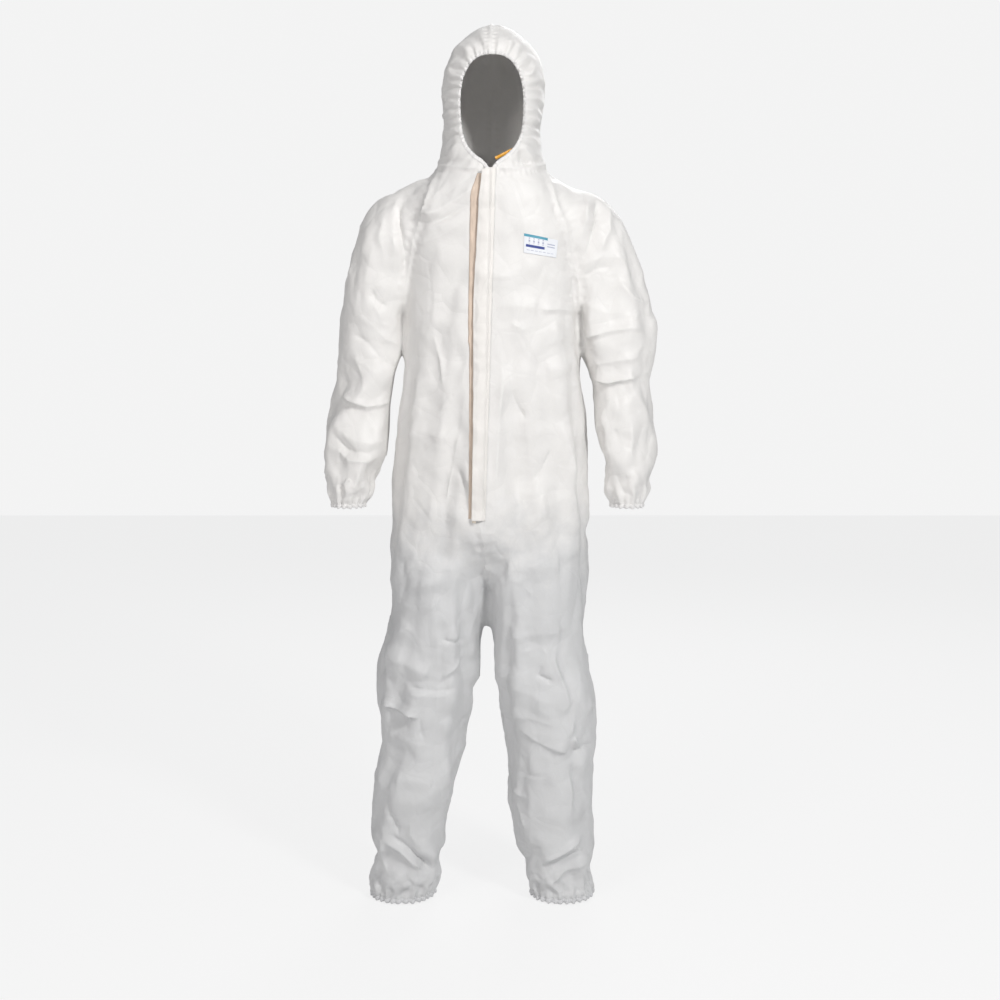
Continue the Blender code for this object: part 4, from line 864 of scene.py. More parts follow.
def fit_outline(co):
    """The settled cloth brought out to the photo's outline: higher shoulders, fuller elbows and calves."""
    x, z = co[:, 0], co[:, 2]
    a = np.abs(x)
    lift = np.interp(a, [0.105, 0.121, 0.137, 0.154, 0.170, 0.187, 0.203, 0.219, 0.236, 0.252, 0.269, 0.30],
                     [0, 0.003, 0.010, 0.018, 0.024, 0.028, 0.031, 0.031, 0.028, 0.021, 0.013, 0.0])
    out = co.copy()
    out[:, 2] += lift * smoothstep(1.20, 1.37, z)
    left = np.interp(z, [0.87, 0.90, 0.925, 0.966, 1.007, 1.048, 1.089, 1.130, 1.171, 1.212, 1.253, 1.294, 1.335, 1.376, 1.42],
                     [0, -0.010, -0.005, 0.002, 0.009, 0.011, 0.012, 0.014, 0.019, 0.022, 0.024, 0.021, 0.012, 0.006, 0.0])
    right = np.interp(z, [0.87, 0.925, 0.966, 1.007, 1.048, 1.089, 1.130, 1.171, 1.253, 1.294, 1.335, 1.376, 1.42],
                      [0, 0.003, 0.007, 0.011, 0.007, -0.001, -0.004, 0.0, 0.005, 0.005, 0.003, 0.004, 0.0])
    out[:, 0] += np.where(x > 0, left, -right) * smoothstep(0.20, 0.31, a)
    left = np.interp(z, [0.14, 0.228, 0.310, 0.351, 0.392, 0.433, 0.474, 0.54], [0, 0.004, 0.004, 0.009, 0.011, 0.011, 0.011, 0.0])
    right = np.interp(z, [0.08, 0.146, 0.228, 0.269, 0.310, 0.351, 0.392, 0.433, 0.474, 0.60],
                      [0, 0.007, 0.010, 0.012, 0.007, 0.001, 0.008, 0.012, 0.007, 0.0])
    out[:, 0] += np.where(x > 0, left, -right) * smoothstep(0.08, 0.19, a) * (z < 0.62)
    return out


def make_garment():
    base = build_base(VOXEL)
    rest0 = coords(base.data).copy()
    sim0 = simulate(base)
    sim0 = fit_outline(sim0)
    body_mesh = base.data.copy()
    set_coords(body_mesh, rest0)
    # one round of subdivision on both shapes
    m = base.modifiers.new("smooth", "SUBSURF")
    m.levels = m.render_levels = 1
    set_coords(base.data, rest0)
    fine = evaluated_mesh(base)
    rest = coords(fine)
    set_coords(base.data, sim0)
    other = evaluated_mesh(base)
    shape = coords(other)
    bpy.data.meshes.remove(other)
    bpy.data.objects.remove(base, do_unlink=True)
    set_coords(fine, shape)
    att = fine.attributes.new("rest", "FLOAT_VECTOR", "POINT")
    att.data.foreach_set("vector", rest.astype(np.float32).ravel())
    bm = bmesh.new()
    bm.from_mesh(fine)
    layer = bm.verts.layers.float_vector["rest"]
    # finer cloth where it is gathered or creased
    refine(bm, layer, lambda r: (lambda d: d[2] & (d[0] > -0.014) & (d[0] < 0.060))(face_distance(r)))
    refine(bm, layer, lambda r: in_arm(r) & (r[:, 2] < CUFF_Z + 0.07))
    refine(bm, layer, lambda r: (r[:, 2] < HEM_Z + 0.06))
    refine(bm, layer, lambda r: ~in_arm(r) & (r[:, 1] > 0.01) & (np.abs(r[:, 2] - 0.965) < 0.060))
    bm.normal_update()
    n = np.array([v.normal[:] for v in bm.verts])
    near = lambda r: np.abs(fold_relief(r, n, SHARP, -1)) > 0.0011
    refine(bm, layer, near)
    bm.to_mesh(fine)
    bm.free()
    shape = coords(fine)
    n = len(fine.vertices)
    rest = np.empty(n * 3, np.float32)
    fine.attributes["rest"].data.foreach_get("vector", rest)
    rest = rest.reshape(-1, 3).astype(float)
    normal = vertex_normals(fine, shape)
    calm = np.ones(n)
    z = rest[:, 2]
    off = np.abs(rest[:, 0] - zip_x(z))
    band = (rest[:, 1] < -0.05) & (z > 0.80) & (z < 1.50)
    calm = np.where(band, smoothstep(0.014, 0.040, off), calm)
    d, _, front = face_distance(rest)
    calm = np.where(front, np.minimum(calm, smoothstep(-0.002, 0.020, d)), calm)
    calm *= np.where(in_arm(rest), smoothstep(CUFF_Z, CUFF_Z + 0.02, z), 1)
    calm *= np.where(z < 0.3, smoothstep(HEM_Z, HEM_Z + 0.02, z), 1)
    relief = calm * (fold_relief(rest, normal, FOLDS, -1) + fold_relief(rest, normal, KIND_BACK, 1) + crumple(body_mesh, rest))
    relief += gathers(rest, normal) + seam_relief(rest)
    shape = shape + normal * relief[:, None]
    # sleeves stay off the body, and the legs off each other
    x, z = rest[:, 0], rest[:, 2]
    arm = in_arm(rest)
    line = np.interp(z, [0.78, 0.90, 0.99, 1.04, 1.11, 1.165], [0.2095, 0.2095, 0.2035, 0.2010, 0.1905, 0.1830])
    part = smoothstep(1.150, 1.095, z) * (z > 0.80)
    gap = 0.0035 * part
    sx = np.abs(shape[:, 0])
    shove = np.where(arm, np.maximum(sx, line + gap), np.minimum(sx, line - gap))
    sx = np.where(part > 0, sx + (shove - sx) * part, sx)
    shape[:, 0] = np.sign(shape[:, 0]) * sx
    low = z < 0.63
    mid = np.interp(z, [0.40, 0.46, 0.52, 0.58, 0.64], [-0.011, -0.010, -0.009, -0.009, -0.008])
    edge = 0.003 * smoothstep(0.63, 0.59, z)
    right = low & (x < mid)
    left = low & (x >= mid)
    shape[right, 0] = np.minimum(shape[right, 0], (mid - edge)[right])
    shape[left, 0] = np.maximum(shape[left, 0], (mid + edge)[left])
    set_coords(fine, shape)
    return fine


def split_panels(fine):
    """Cuts the garment along its seams and makes one object for each panel, in the row frame."""
    bm = bmesh.new()
    bm.from_mesh(fine)
    layer = bm.verts.layers.float_vector["rest"]
    below = lambda r: neck_height(r) < 0.03
    body = lambda r: ~in_arm(r)
    everywhere = lambda r: np.ones(len(r), bool)
    cut(bm, layer, lambda r: r[:, 2] - CUFF_Z, lambda r: (np.abs(r[:, 0]) > 0.21) & (r[:, 2] < 0.90) & (r[:, 2] > 0.80) & (arm_offset(r) > 0), True)
    cut(bm, layer, lambda r: r[:, 2] - HEM_Z, lambda r: r[:, 2] < 0.10, True)
    cut(bm, layer, lambda r: face_distance(r)[0] - 0.0005, lambda r: (r[:, 1] < -0.02) & (r[:, 2] > 1.44), True)
    cut(bm, layer, lambda r: np.abs(r[:, 0] - zip_x(r[:, 2]) + 0.0020) - 0.0075,
        lambda r: (r[:, 1] < -0.06) & (r[:, 2] > 0.8255) & (neck_height(r) < 0.004) & (np.abs(r[:, 0]) < 0.08), True)
    cut(bm, layer, neck_height, lambda r: (r[:, 2] > 1.44) & (r[:, 2] < 1.58))
    cut(bm, layer, arm_offset, lambda r: (r[:, 2] > 1.235) & (r[:, 2] < 1.545))
    cut(bm, layer, lambda r: r[:, 0] - middle_x(r[:, 2]), lambda r: (np.abs(r[:, 0]) < 0.06))
    cut(bm, layer, lambda r: r[:, 1] - SIDE_Y, lambda r: (arm_offset(r) < 0.02) & (r[:, 2] < 1.30))
    faces = list(bm.faces)
    c = np.array([np.mean([v[layer] for v in f.verts], axis=0) for f in faces])
    hood = neck_height(c) > 0
    arm = ~hood & (arm_offset(c) > 0) & (c[:, 2] > 0.80)
    left = c[:, 0] > middle_x(c[:, 2])
    front = c[:, 1] < SIDE_Y
    label = np.where(hood, np.where(left, "hood_left", "hood_right"),
                     np.where(arm, np.where(c[:, 0] > 0, "sleeve_left", "sleeve_right"),
                              np.where(front, np.where(left, "front_left", "front_right"), np.where(left, "back_left", "back_right"))))
    bm.verts.ensure_lookup_table()
    co = np.array([v.co[:] for v in bm.verts])
    rest = np.array([v[layer] for v in bm.verts])
    panels = {}
    index = [[v.index for v in f.verts] for f in faces]
    bm.free()
    for name in np.unique(label):
        chosen = [index[i] for i in np.nonzero(label == name)[0]]
        used = np.unique(np.concatenate([np.array(f) for f in chosen]))
        back = {int(u): k for k, u in enumerate(used)}
        verts = co[used] - [0, 0, NECK]
        o = mesh_object(str(name) + "_cloth", verts, [[back[v] for v in f] for f in chosen])
        att = o.data.attributes.new("rest", "FLOAT_VECTOR", "POINT")
        att.data.foreach_set("vector", rest[used].astype(np.float32).ravel())
        o.data.shade_smooth()
        panels[str(name)] = o
    return panels


# ------------------------------------------------------------------ materials
def nodes_of(name):
    m = bpy.data.materials.new(name)
    m.use_nodes = True
    nt = m.node_tree
    return m, nt, nt.nodes["Principled BSDF"]


def nonwoven(name, tint=(1, 1, 1), shade_graded=True, emboss=1.0):
    """Papery spunbond laminate: fibre mottling, point bonds, faint packing crumple, painted crease shade in thin grey
    lines, and a cooler, greyer tone low down, partly painted shade and partly the darker clothing under the thin cloth.
    """
    m, nt, shader = nodes_of(name)
    N, link = nt.nodes.new, nt.links.new
    where = N("ShaderNodeTexCoord")
    pos = where.outputs["Object"]
    fibre = N("ShaderNodeTexNoise")
    fibre.inputs["Scale"].default_value = 420
    fibre.inputs["Detail"].default_value = 3
    link(pos, fibre.inputs["Vector"])
    cloud = N("ShaderNodeTexNoise")
    cloud.inputs["Scale"].default_value = 26
    cloud.inputs["Detail"].default_value = 5
    cloud.inputs["Roughness"].default_value = 0.62
    link(pos, cloud.inputs["Vector"])
    sep = N("ShaderNodeSeparateXYZ")
    link(pos, sep.inputs[0])
    # painted shade by height: warm white above the waist, cooler and greyer from the hips down, where the lower body
    # gets less light; partly also the darker clothing seen through the thin cloth
    wander = N("ShaderNodeMath")
    wander.operation = "MULTIPLY_ADD"
    wander.inputs[1].default_value = 0.22
    link(cloud.outputs["Fac"], wander.inputs[0])
    link(sep.outputs["Z"], wander.inputs[2])
    ramp = N("ShaderNodeMapRange")
    ramp.inputs["From Min"].default_value = -0.700
    ramp.inputs["From Max"].default_value = -0.480
    ramp.interpolation_type = "SMOOTHSTEP"
    link(wander.outputs[0], ramp.inputs["Value"])
    tone = N("ShaderNodeMix")
    tone.data_type = "RGBA"
    low = LOW_SHADE_TONE if shade_graded else HIGH_TONE
    tone.inputs["A"].default_value = (*[a * b for a, b in zip(low, tint)], 1)
    tone.inputs["B"].default_value = (*[a * b for a, b in zip(HIGH_TONE, tint)], 1)
    link(ramp.outputs["Result"], tone.inputs["Factor"])
    mottle = N("ShaderNodeMix")
    mottle.data_type = "RGBA"
    mottle.blend_type = "MULTIPLY"
    mottle.inputs["Factor"].default_value = 1.0
    shade = N("ShaderNodeValToRGB")
    shade.color_ramp.elements[0].position, shade.color_ramp.elements[0].color = 0.32, (0.955, 0.953, 0.95, 1)
    shade.color_ramp.elements[1].position, shade.color_ramp.elements[1].color = 0.70, (1, 1, 1, 1)
    blend = N("ShaderNodeMath")
    blend.operation = "MULTIPLY_ADD"
    blend.inputs[1].default_value = 0.35
    link(fibre.outputs["Fac"], blend.inputs[0])
    part = N("ShaderNodeMath")
    part.operation = "MULTIPLY"
    part.inputs[1].default_value = 0.65
    link(cloud.outputs["Fac"], part.inputs[0])
    link(part.outputs[0], blend.inputs[2])
    link(blend.outputs[0], shade.inputs["Fac"])
    link(tone.outputs["Result"], mottle.inputs["A"])
    link(shade.outputs["Color"], mottle.inputs["B"])
    # point bonds, fibres and fine crumple as bump
    bonds = N("ShaderNodeTexVoronoi")
    bonds.inputs["Scale"].default_value = 640
    bonds.inputs["Randomness"].default_value = 0.25
    link(pos, bonds.inputs["Vector"])
    crease = N("ShaderNodeTexVoronoi")
    crease.feature = "DISTANCE_TO_EDGE"
    crease.inputs["Scale"].default_value = 19
    warp = N("ShaderNodeTexNoise")
    warp.inputs["Scale"].default_value = 9
    warp.inputs["Detail"].default_value = 2
    link(pos, warp.inputs["Vector"])
    bent = N("ShaderNodeVectorMath")
    bent.operation = "MULTIPLY_ADD"
    bent.inputs[1].default_value = (0.07, 0.07, 0.05)
    link(warp.outputs["Color"], bent.inputs[0])
    link(pos, bent.inputs[2])
    link(bent.outputs[0], crease.inputs["Vector"])
    sharp = N("ShaderNodeMapRange")
    sharp.inputs["From Min"].default_value = 0.0
    sharp.inputs["From Max"].default_value = 0.16
    link(crease.outputs["Distance"], sharp.inputs["Value"])
    wavy = N("ShaderNodeTexNoise")
    wavy.inputs["Scale"].default_value = 55
    wavy.inputs["Detail"].default_value = 4
    wavy.inputs["Distortion"].default_value = 0.6
    link(pos, wavy.inputs["Vector"])
    b1 = N("ShaderNodeBump")
    b1.inputs["Strength"].default_value = 0.28 * emboss
    b1.inputs["Distance"].default_value = 0.0004
    link(bonds.outputs["Distance"], b1.inputs["Height"])
    b2 = N("ShaderNodeBump")
    b2.inputs["Strength"].default_value = 0.40
    b2.inputs["Distance"].default_value = 0.0014
    link(sharp.outputs["Result"], b2.inputs["Height"])
    link(b1.outputs["Normal"], b2.inputs["Normal"])
    b3 = N("ShaderNodeBump")
    b3.inputs["Strength"].default_value = 0.22
    b3.inputs["Distance"].default_value = 0.0020
    link(wavy.outputs["Fac"], b3.inputs["Height"])
    link(b2.outputs["Normal"], b3.inputs["Normal"])
    ridge = N("ShaderNodeTexNoise")
    ridge.noise_type = "RIDGED_MULTIFRACTAL"
    ridge.inputs["Scale"].default_value = 13
    ridge.inputs["Detail"].default_value = 3
    ridge.inputs["Roughness"].default_value = 0.55
    ridge.inputs["Lacunarity"].default_value = 2.3
    link(pos, ridge.inputs["Vector"])
    b4 = N("ShaderNodeBump")
    b4.inputs["Strength"].default_value = 1.0
    b4.inputs["Distance"].default_value = 0.0140
    link(ridge.outputs["Fac"], b4.inputs["Height"])
    link(b3.outputs["Normal"], b4.inputs["Normal"])
    link(b4.outputs["Normal"], shader.inputs["Normal"])
    # painted shade: a thin dark grey line along the creases, in patches, darkening the colour where the creases lie in
    # shade
    thin = N("ShaderNodeMapRange")
    thin.interpolation_type = "SMOOTHSTEP"
    thin.inputs["From Min"].default_value = 0.0
    thin.inputs["From Max"].default_value = 0.030
    thin.inputs["To Min"].default_value = 1.0
    thin.inputs["To Max"].default_value = 0.0
    link(crease.outputs["Distance"], thin.inputs["Value"])
    patch = N("ShaderNodeMapRange")
    patch.inputs["From Min"].default_value = 0.46
    patch.inputs["From Max"].default_value = 0.60
    patch.inputs["To Max"].default_value = 0.04
    link(cloud.outputs["Fac"], patch.inputs["Value"])
    crease_shade_amount = N("ShaderNodeMath")
    crease_shade_amount.operation = "MULTIPLY"
    link(thin.outputs["Result"], crease_shade_amount.inputs[0])
    link(patch.outputs["Result"], crease_shade_amount.inputs[1])
    crease_shade_line = N("ShaderNodeMix")
    crease_shade_line.data_type = "RGBA"
    crease_shade_line.inputs["B"].default_value = (0.30, 0.29, 0.28, 1)
    link(crease_shade_amount.outputs[0], crease_shade_line.inputs["Factor"])
    link(mottle.outputs["Result"], crease_shade_line.inputs["A"])
    link(crease_shade_line.outputs["Result"], shader.inputs["Base Color"])
    rough = N("ShaderNodeMapRange")
    rough.inputs["To Min"].default_value = 0.38
    rough.inputs["To Max"].default_value = 0.55
    link(cloud.outputs["Fac"], rough.inputs["Value"])
    link(rough.outputs["Result"], shader.inputs["Roughness"])
    shader.inputs["Specular IOR Level"].default_value = 0.35
    shader.inputs["Sheen Weight"].default_value = 0.12
    shader.inputs["Sheen Roughness"].default_value = 0.5
    return m


def plain(name, colour, rough, scale, depth, metal=0.0, stretch=(1, 1, 1), vary=0.10):
    """A smaller material with its own grain: colour variation and bump from noise stretched along its run."""
    m, nt, shader = nodes_of(name)
    N, link = nt.nodes.new, nt.links.new
    where = N("ShaderNodeTexCoord")
    mapping = N("ShaderNodeMapping")
    mapping.inputs["Scale"].default_value = stretch
    link(where.outputs["Object"], mapping.inputs["Vector"])
    grain = N("ShaderNodeTexNoise")
    grain.inputs["Scale"].default_value = scale
    grain.inputs["Detail"].default_value = 4
    link(mapping.outputs[0], grain.inputs["Vector"])
    ramp = N("ShaderNodeValToRGB")
    ramp.color_ramp.elements[0].position, ramp.color_ramp.elements[0].color = 0.3, (*[c * (1 - vary) for c in colour], 1)
    ramp.color_ramp.elements[1].position, ramp.color_ramp.elements[1].color = 0.7, (*[min(1, c * (1 + vary * 0.3)) for c in colour], 1)
    link(grain.outputs["Fac"], ramp.inputs["Fac"])
    link(ramp.outputs["Color"], shader.inputs["Base Color"])
    bump = N("ShaderNodeBump")
    bump.inputs["Strength"].default_value = 0.5
    bump.inputs["Distance"].default_value = depth
    link(grain.outputs["Fac"], bump.inputs["Height"])
    link(bump.outputs["Normal"], shader.inputs["Normal"])
    shader.inputs["Roughness"].default_value = rough
    shader.inputs["Metallic"].default_value = metal
    return m


def tape_weave(name, colour):
    m, nt, shader = nodes_of(name)
    N, link = nt.nodes.new, nt.links.new
    where = N("ShaderNodeTexCoord")
    wave = N("ShaderNodeTexWave")
    wave.bands_direction = "DIAGONAL"
    wave.inputs["Scale"].default_value = 420
    wave.inputs["Distortion"].default_value = 0.4
    link(where.outputs["Object"], wave.inputs["Vector"])
    ramp = N("ShaderNodeValToRGB")
    ramp.color_ramp.elements[0].color = (*[c * 0.82 for c in colour], 1)
    ramp.color_ramp.elements[1].color = (*colour, 1)
    link(wave.outputs["Fac"], ramp.inputs["Fac"])
    link(ramp.outputs["Color"], shader.inputs["Base Color"])
    bump = N("ShaderNodeBump")
    bump.inputs["Strength"].default_value = 0.6
    bump.inputs["Distance"].default_value = 0.0003
    link(wave.outputs["Fac"], bump.inputs["Height"])
    link(bump.outputs["Normal"], shader.inputs["Normal"])
    shader.inputs["Roughness"].default_value = 0.8
    return m


HIGH_TONE = (0.830, 0.818, 0.803)
# the cooler, greyer colour low down is partly painted shade for the less lit lower body, partly the clothing seen
# through the cloth
LOW_SHADE_TONE = (0.690, 0.694, 0.700)
VOXEL = 0.010

MAT = {
    "nonwoven": nonwoven("nonwoven_laminate"),
    "flap": nonwoven("nonwoven_flap", tint=(1.03, 1.015, 0.998), shade_graded=False, emboss=0.7),
    "elastic": nonwoven("elastic_casing", tint=(1.0, 1.0, 1.01), emboss=0.5),
    "thread": plain("thread", (0.80, 0.79, 0.77), 0.6, 900, 0.0002),
    "tape": tape_weave("zip_tape", (0.80, 0.76, 0.70)),
    "coil": plain("zip_coil", (0.84, 0.82, 0.78), 0.35, 700, 0.0001),
    "metal": plain("zip_metal", (0.72, 0.72, 0.72), 0.32, 500, 0.0001, metal=0.9),
    "beige": plain("release_beige", (0.74, 0.60, 0.49), 0.5, 160, 0.0006, stretch=(1, 1, 0.25), vary=0.16),
    "adhesive": plain("adhesive_tape", (0.78, 0.70, 0.60), 0.3, 260, 0.0003, stretch=(1, 1, 0.4)),
    "orange": plain("release_orange", (0.86, 0.42, 0.04), 0.42, 200, 0.0003),
    "label": plain("label_ground", (0.86, 0.88, 0.92), 0.45, 900, 0.0001, vary=0.05),
    "teal": plain("label_teal", (0.10, 0.36, 0.48), 0.5, 900, 0.0001),
    "blue": plain("label_blue", (0.05, 0.08, 0.30), 0.5, 900, 0.0001),
    "grey": plain("label_grey", (0.45, 0.47, 0.60), 0.5, 900, 0.0001),
}


def give(o, key):
    o.data.materials.clear()
    o.data.materials.append(MAT[key])


# ------------------------------------------------------------------ make the panels
garment = make_garment()
panels = split_panels(garment)
bpy.data.meshes.remove(garment)
everything = list(panels.values())


def surface_tree():
    verts, faces = [], []
    for o in panels.values():
        k = len(verts)
        verts += [v.co.copy() for v in o.data.vertices]
        faces += [[i + k for i in p.vertices] for p in o.data.polygons]
    return BVHTree.FromPolygons(verts, faces)


TREE = surface_tree()


def on_front(x, z, lift):
    """The point on the suit's front at x, z (row frame), raised by lift along the surface's normal."""
    hit, normal, _, _ = TREE.ray_cast(Vector((x, -0.6, z)), Vector((0, 1, 0)))
    if hit is None:
        return None
    if normal.y > 0:
        normal = -normal
    return hit + normal * lift


def boundary_loop(o, test):
    """The ordered edge loop of a panel set's open edge whose points pass the test."""
    pts, links = {}, {}
    for k, ob in enumerate(o):
        bm = bmesh.new()
        bm.from_mesh(ob.data)
        layer = bm.verts.layers.float_vector["rest"]
        for e in bm.edges:
            if len(e.link_faces) == 1:
                a, b = e.verts
                if test(Vector(a[layer])) and test(Vector(b[layer])):
                    ka, kb = (tuple(round(c, 5) for c in v.co) for v in (a, b))
                    pts[ka], pts[kb] = a.co.copy(), b.co.copy()
                    links.setdefault(ka, []).append(kb)
                    links.setdefault(kb, []).append(ka)
        bm.free()
    return pts, links


def ordered(pts, links):
    start = next(iter(links))
    path, seen, here = [start], {start}, start
    while True:
        nxt = [k for k in links[here] if k not in seen]
        if not nxt:
            break
        here = nxt[0]
        seen.add(here)
        path.append(here)
    return np.array([pts[k][:] for k in path])


def resample(p, count, closed=True):
    q = np.vstack([p, p[:1]]) if closed else p
    s = np.concatenate([[0], np.cumsum(np.linalg.norm(np.diff(q, axis=0), axis=1))])
    t = np.linspace(0, s[-1], count, endpoint=not closed)
    return np.stack([np.interp(t, s, q[:, k]) for k in range(3)], axis=1)


def smooth_loop(p, rounds):
    for _ in range(rounds):
        p = (np.roll(p, 1, 0) + 2 * p + np.roll(p, -1, 0)) / 4
    return p


def ring_by_angle(centre_x, centre_y, z, rx, ry, count):
    t = np.linspace(0, 2 * np.pi, count, endpoint=False)
    return np.stack([centre_x + rx * np.cos(t), centre_y + ry * np.sin(t), np.full(count, z)], axis=1)


def gathered_band(name, loop, direction, height, thick, pleats, seed, ruffle=1.0):
    """A ruffled elastic casing swept along a closed loop. direction gives the way each section runs off the edge."""
    n = len(loop)
    tangent = np.roll(loop, -1, 0) - np.roll(loop, 1, 0)
    tangent /= np.linalg.norm(tangent, axis=1)[:, None]
    out = np.cross(tangent, direction)
    out /= np.linalg.norm(out, axis=1)[:, None]
    rng = np.random.default_rng(seed)
    phase = 2 * np.pi * pleats * (np.arange(n) / n) + 0.9 * np.sin(2 * np.pi * np.arange(n) / n * 7 + rng.random() * 6)
    sections = 12
    verts, faces = [], []
    for i in range(n):
        for k in range(sections):
            a = 2 * math.pi * k / sections
            u = (1 - math.cos(a)) / 2                   # 0 at the fabric, 1 at the free edge
            side = math.sin(a)
            swell = 0.92 + ruffle * (0.35 * math.cos(phase[i]) + 0.15 * math.cos(2.3 * phase[i] + seed))
            run = height * u * (1 + 0.10 * ruffle * math.cos(phase[i] * 0.5 + 1.0) * u)
            lateral = side * thick * 0.5 * swell + ruffle * 0.30 * thick * math.cos(phase[i]) * (0.4 + 0.6 * u)
            verts.append(tuple(loop[i] + direction[i] * (run - 0.0012) + out[i] * lateral))
    for i in range(n):
        j = (i + 1) % n
        for k in range(sections):
            m = (k + 1) % sections
            faces.append((i * sections + k, i * sections + m, j * sections + m, j * sections + k))
    o = mesh_object(name, verts, faces)
    bm = bmesh.new()
    bm.from_mesh(o.data)
    bmesh.ops.recalc_face_normals(bm, faces=bm.faces)
    bm.to_mesh(o.data)
    bm.free()
    o.data.shade_smooth()
    give(o, "elastic")
    return o


for name, o in panels.items():
    give(o, "nonwoven")

FRONT_PARTS = {"right": ["front_right_panel", "right_leg_lower_front"], "left": ["front_left_panel", "left_leg_lower_front"]}
BACK_PARTS = {"right": ["back_right_panel", "right_leg_lower_back"], "left": ["back_left_panel", "left_leg_lower_back"]}

# ------------------------------------------------------------------ elastic edges
trims = []


def face_loop(count):
    """Points on the hood's fabric just outside the opening, in the row frame."""
    p = []
    n = len(OUTLINE)
    for k in range(count):
        u = k / count * n
        i, f = int(u) % n, u - int(u)
        a, b = OUTLINE[i], OUTLINE[(i + 1) % n]
        q = a * (1 - f) + b * f
        tan = b - a
        out = np.array([tan[1], -tan[0]]) / np.linalg.norm(tan)
        hit = None
        for step in (0.0012, 0.002, 0.003, 0.0045):
            for sgn in (1, -1):
                probe = q + out * sgn * step
                if face_distance(np.array([[probe[0], -0.1, probe[1]]]))[0][0] > 0:
                    hit = on_front(probe[0], probe[1] - NECK, 0.0)
                    if hit is not None and hit.y < -0.04:
                        break
                    hit = None
            if hit is not None:
                break
        p.append((q[0], np.nan if hit is None else hit.y, q[1] - NECK))
    p = np.array(p)
    bad = np.isnan(p[:, 1])
    idx = np.arange(count)
    if bad.any():
        p[bad, 1] = np.interp(idx[bad], idx[~bad], p[~bad, 1], period=count)
    return p


def face_elastic():
    count = 1100
    loop = smooth_loop(face_loop(count), 3)
    centre = np.array([FACE_X, 0, 1.600 - NECK])
    tangent = np.roll(loop, -1, 0) - np.roll(loop, 1, 0)
    tangent /= np.linalg.norm(tangent, axis=1)[:, None]
    inward = centre - loop
    inward[:, 1] = 0.022
    inward -= tangent * np.sum(inward * tangent, axis=1)[:, None]
    inward /= np.linalg.norm(inward, axis=1)[:, None]
    return gathered_band("face_elastic", loop, inward, 0.0078, 0.0030, 96, 3, 0.16)


def limb_loop(names, level, half, test_x, count):
    """The sleeve's or leg's lower edge as an even loop round its middle."""
    pts, _ = boundary_loop([panels[n] for n in names], lambda r: abs(r.z - level) < 0.004 and test_x(r.x))
    p = np.array([v[:] for v in pts.values()])
    c = (p.min(0) + p.max(0)) / 2
    ang = np.arctan2(p[:, 1] - c[1], p[:, 0] - c[0])
    order = np.argsort(ang)
    t = np.linspace(-np.pi, np.pi, count, endpoint=False)
    out = np.stack([np.interp(t, ang[order], p[order, k], period=2 * np.pi) for k in range(3)], axis=1)
    return smooth_loop(out, 2), c


def cuff(side):
    s = -1 if side == "right" else 1
    loop, c = limb_loop([f"sleeve_{side}"], CUFF_Z, 0, lambda x: x * s > 0, 420)
    direction = np.tile(np.array([0, 0, -1.0]), (len(loop), 1))
    return gathered_band(f"{side}_cuff_band", loop, direction, 0.0085, 0.0034, 34, 5 + s, 0.55)


def ankle(side):
    s = -1 if side == "right" else 1
    loop, c = limb_loop([f"front_{side}", f"back_{side}"], HEM_Z, 0, lambda x: x * s > 0, 760)
    direction = np.tile(np.array([0, 0, -1.0]), (len(loop), 1))
    return gathered_band(f"{side}_ankle_band", loop, direction, 0.0090, 0.0036, 52, 9 + s, 0.6)


hood_edge = face_elastic()
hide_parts("hood_face_elastic")
bands = {}
for side in ("right", "left"):
    bands[side + "_cuff"] = cuff(side)
    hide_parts(f"{side}_cuff_elastic")
    bands[side + "_ankle"] = ankle(side)
    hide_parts(f"{side}_ankle_elastic")


def waist_strip():
    """The elastic inside the back waist, a strip that follows the gathered cloth."""
    verts, faces = [], []
    nx, nz = 300, 8
    for i in range(nx + 1):
        x = -0.150 + 0.300 * i / nx
        col = []
        for k in range(nz + 1):
            z = 0.958 - NECK + 0.014 * k / nz
            hit, normal, _, _ = TREE.ray_cast(Vector((x, 0.6, z)), Vector((0, -1, 0)))
            y = 0.10 if hit is None else hit.y
            col.append(y)
        base = float(np.median(col)) - 0.0020
        for k in range(nz + 1):
            z = 0.958 - NECK + 0.014 * k / nz
            verts.append((x, min(base, col[k] - 0.0015), z))
    for i in range(nx):
        for k in range(nz):
            a = i * (nz + 1) + k
            faces.append((a, a + 1, a + nz + 2, a + nz + 1))
    o = mesh_object("waist_elastic_strip", verts, faces)
    o.data.shade_smooth()
    m = o.modifiers.new("thick", "SOLIDIFY")
    m.thickness, m.offset = 0.0007, -1
    me = evaluated_mesh(o)
    o.modifiers.clear()
    o.data = me
    give(o, "elastic")
    return o


waist = waist_strip()
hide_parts("waist_elastic")

# ------------------------------------------------------------------ zip and storm flap
P0 = np.array([ZIP_BOTTOM[0], front_y(ZIP_BOTTOM[1]), ZIP_BOTTOM[1] - NECK])
P1 = np.array([ZIP_TOP[0], front_y(ZIP_TOP[1]), ZIP_TOP[1] - NECK])
ZLEN = float(np.linalg.norm(P1 - P0))
UP = (P1 - P0) / ZLEN
ACROSS = np.array([UP[2], 0, -UP[0]])
ACROSS /= np.linalg.norm(ACROSS)
INWARD = np.cross(UP, ACROSS)


def from_zip(p):
    p = np.asarray(p, float)
    return P0 + p[..., :1] * ACROSS + p[..., 1:2] * INWARD + p[..., 2:3] * UP


def grid_faces(rows, cols, closed_cols=False, offset=0):
    faces = []
    for i in range(rows - 1):
        for k in range(cols if closed_cols else cols - 1):
            m = (k + 1) % cols
            faces.append((offset + i * cols + k, offset + i * cols + m, offset + (i + 1) * cols + m, offset + (i + 1) * cols + k))
    return faces


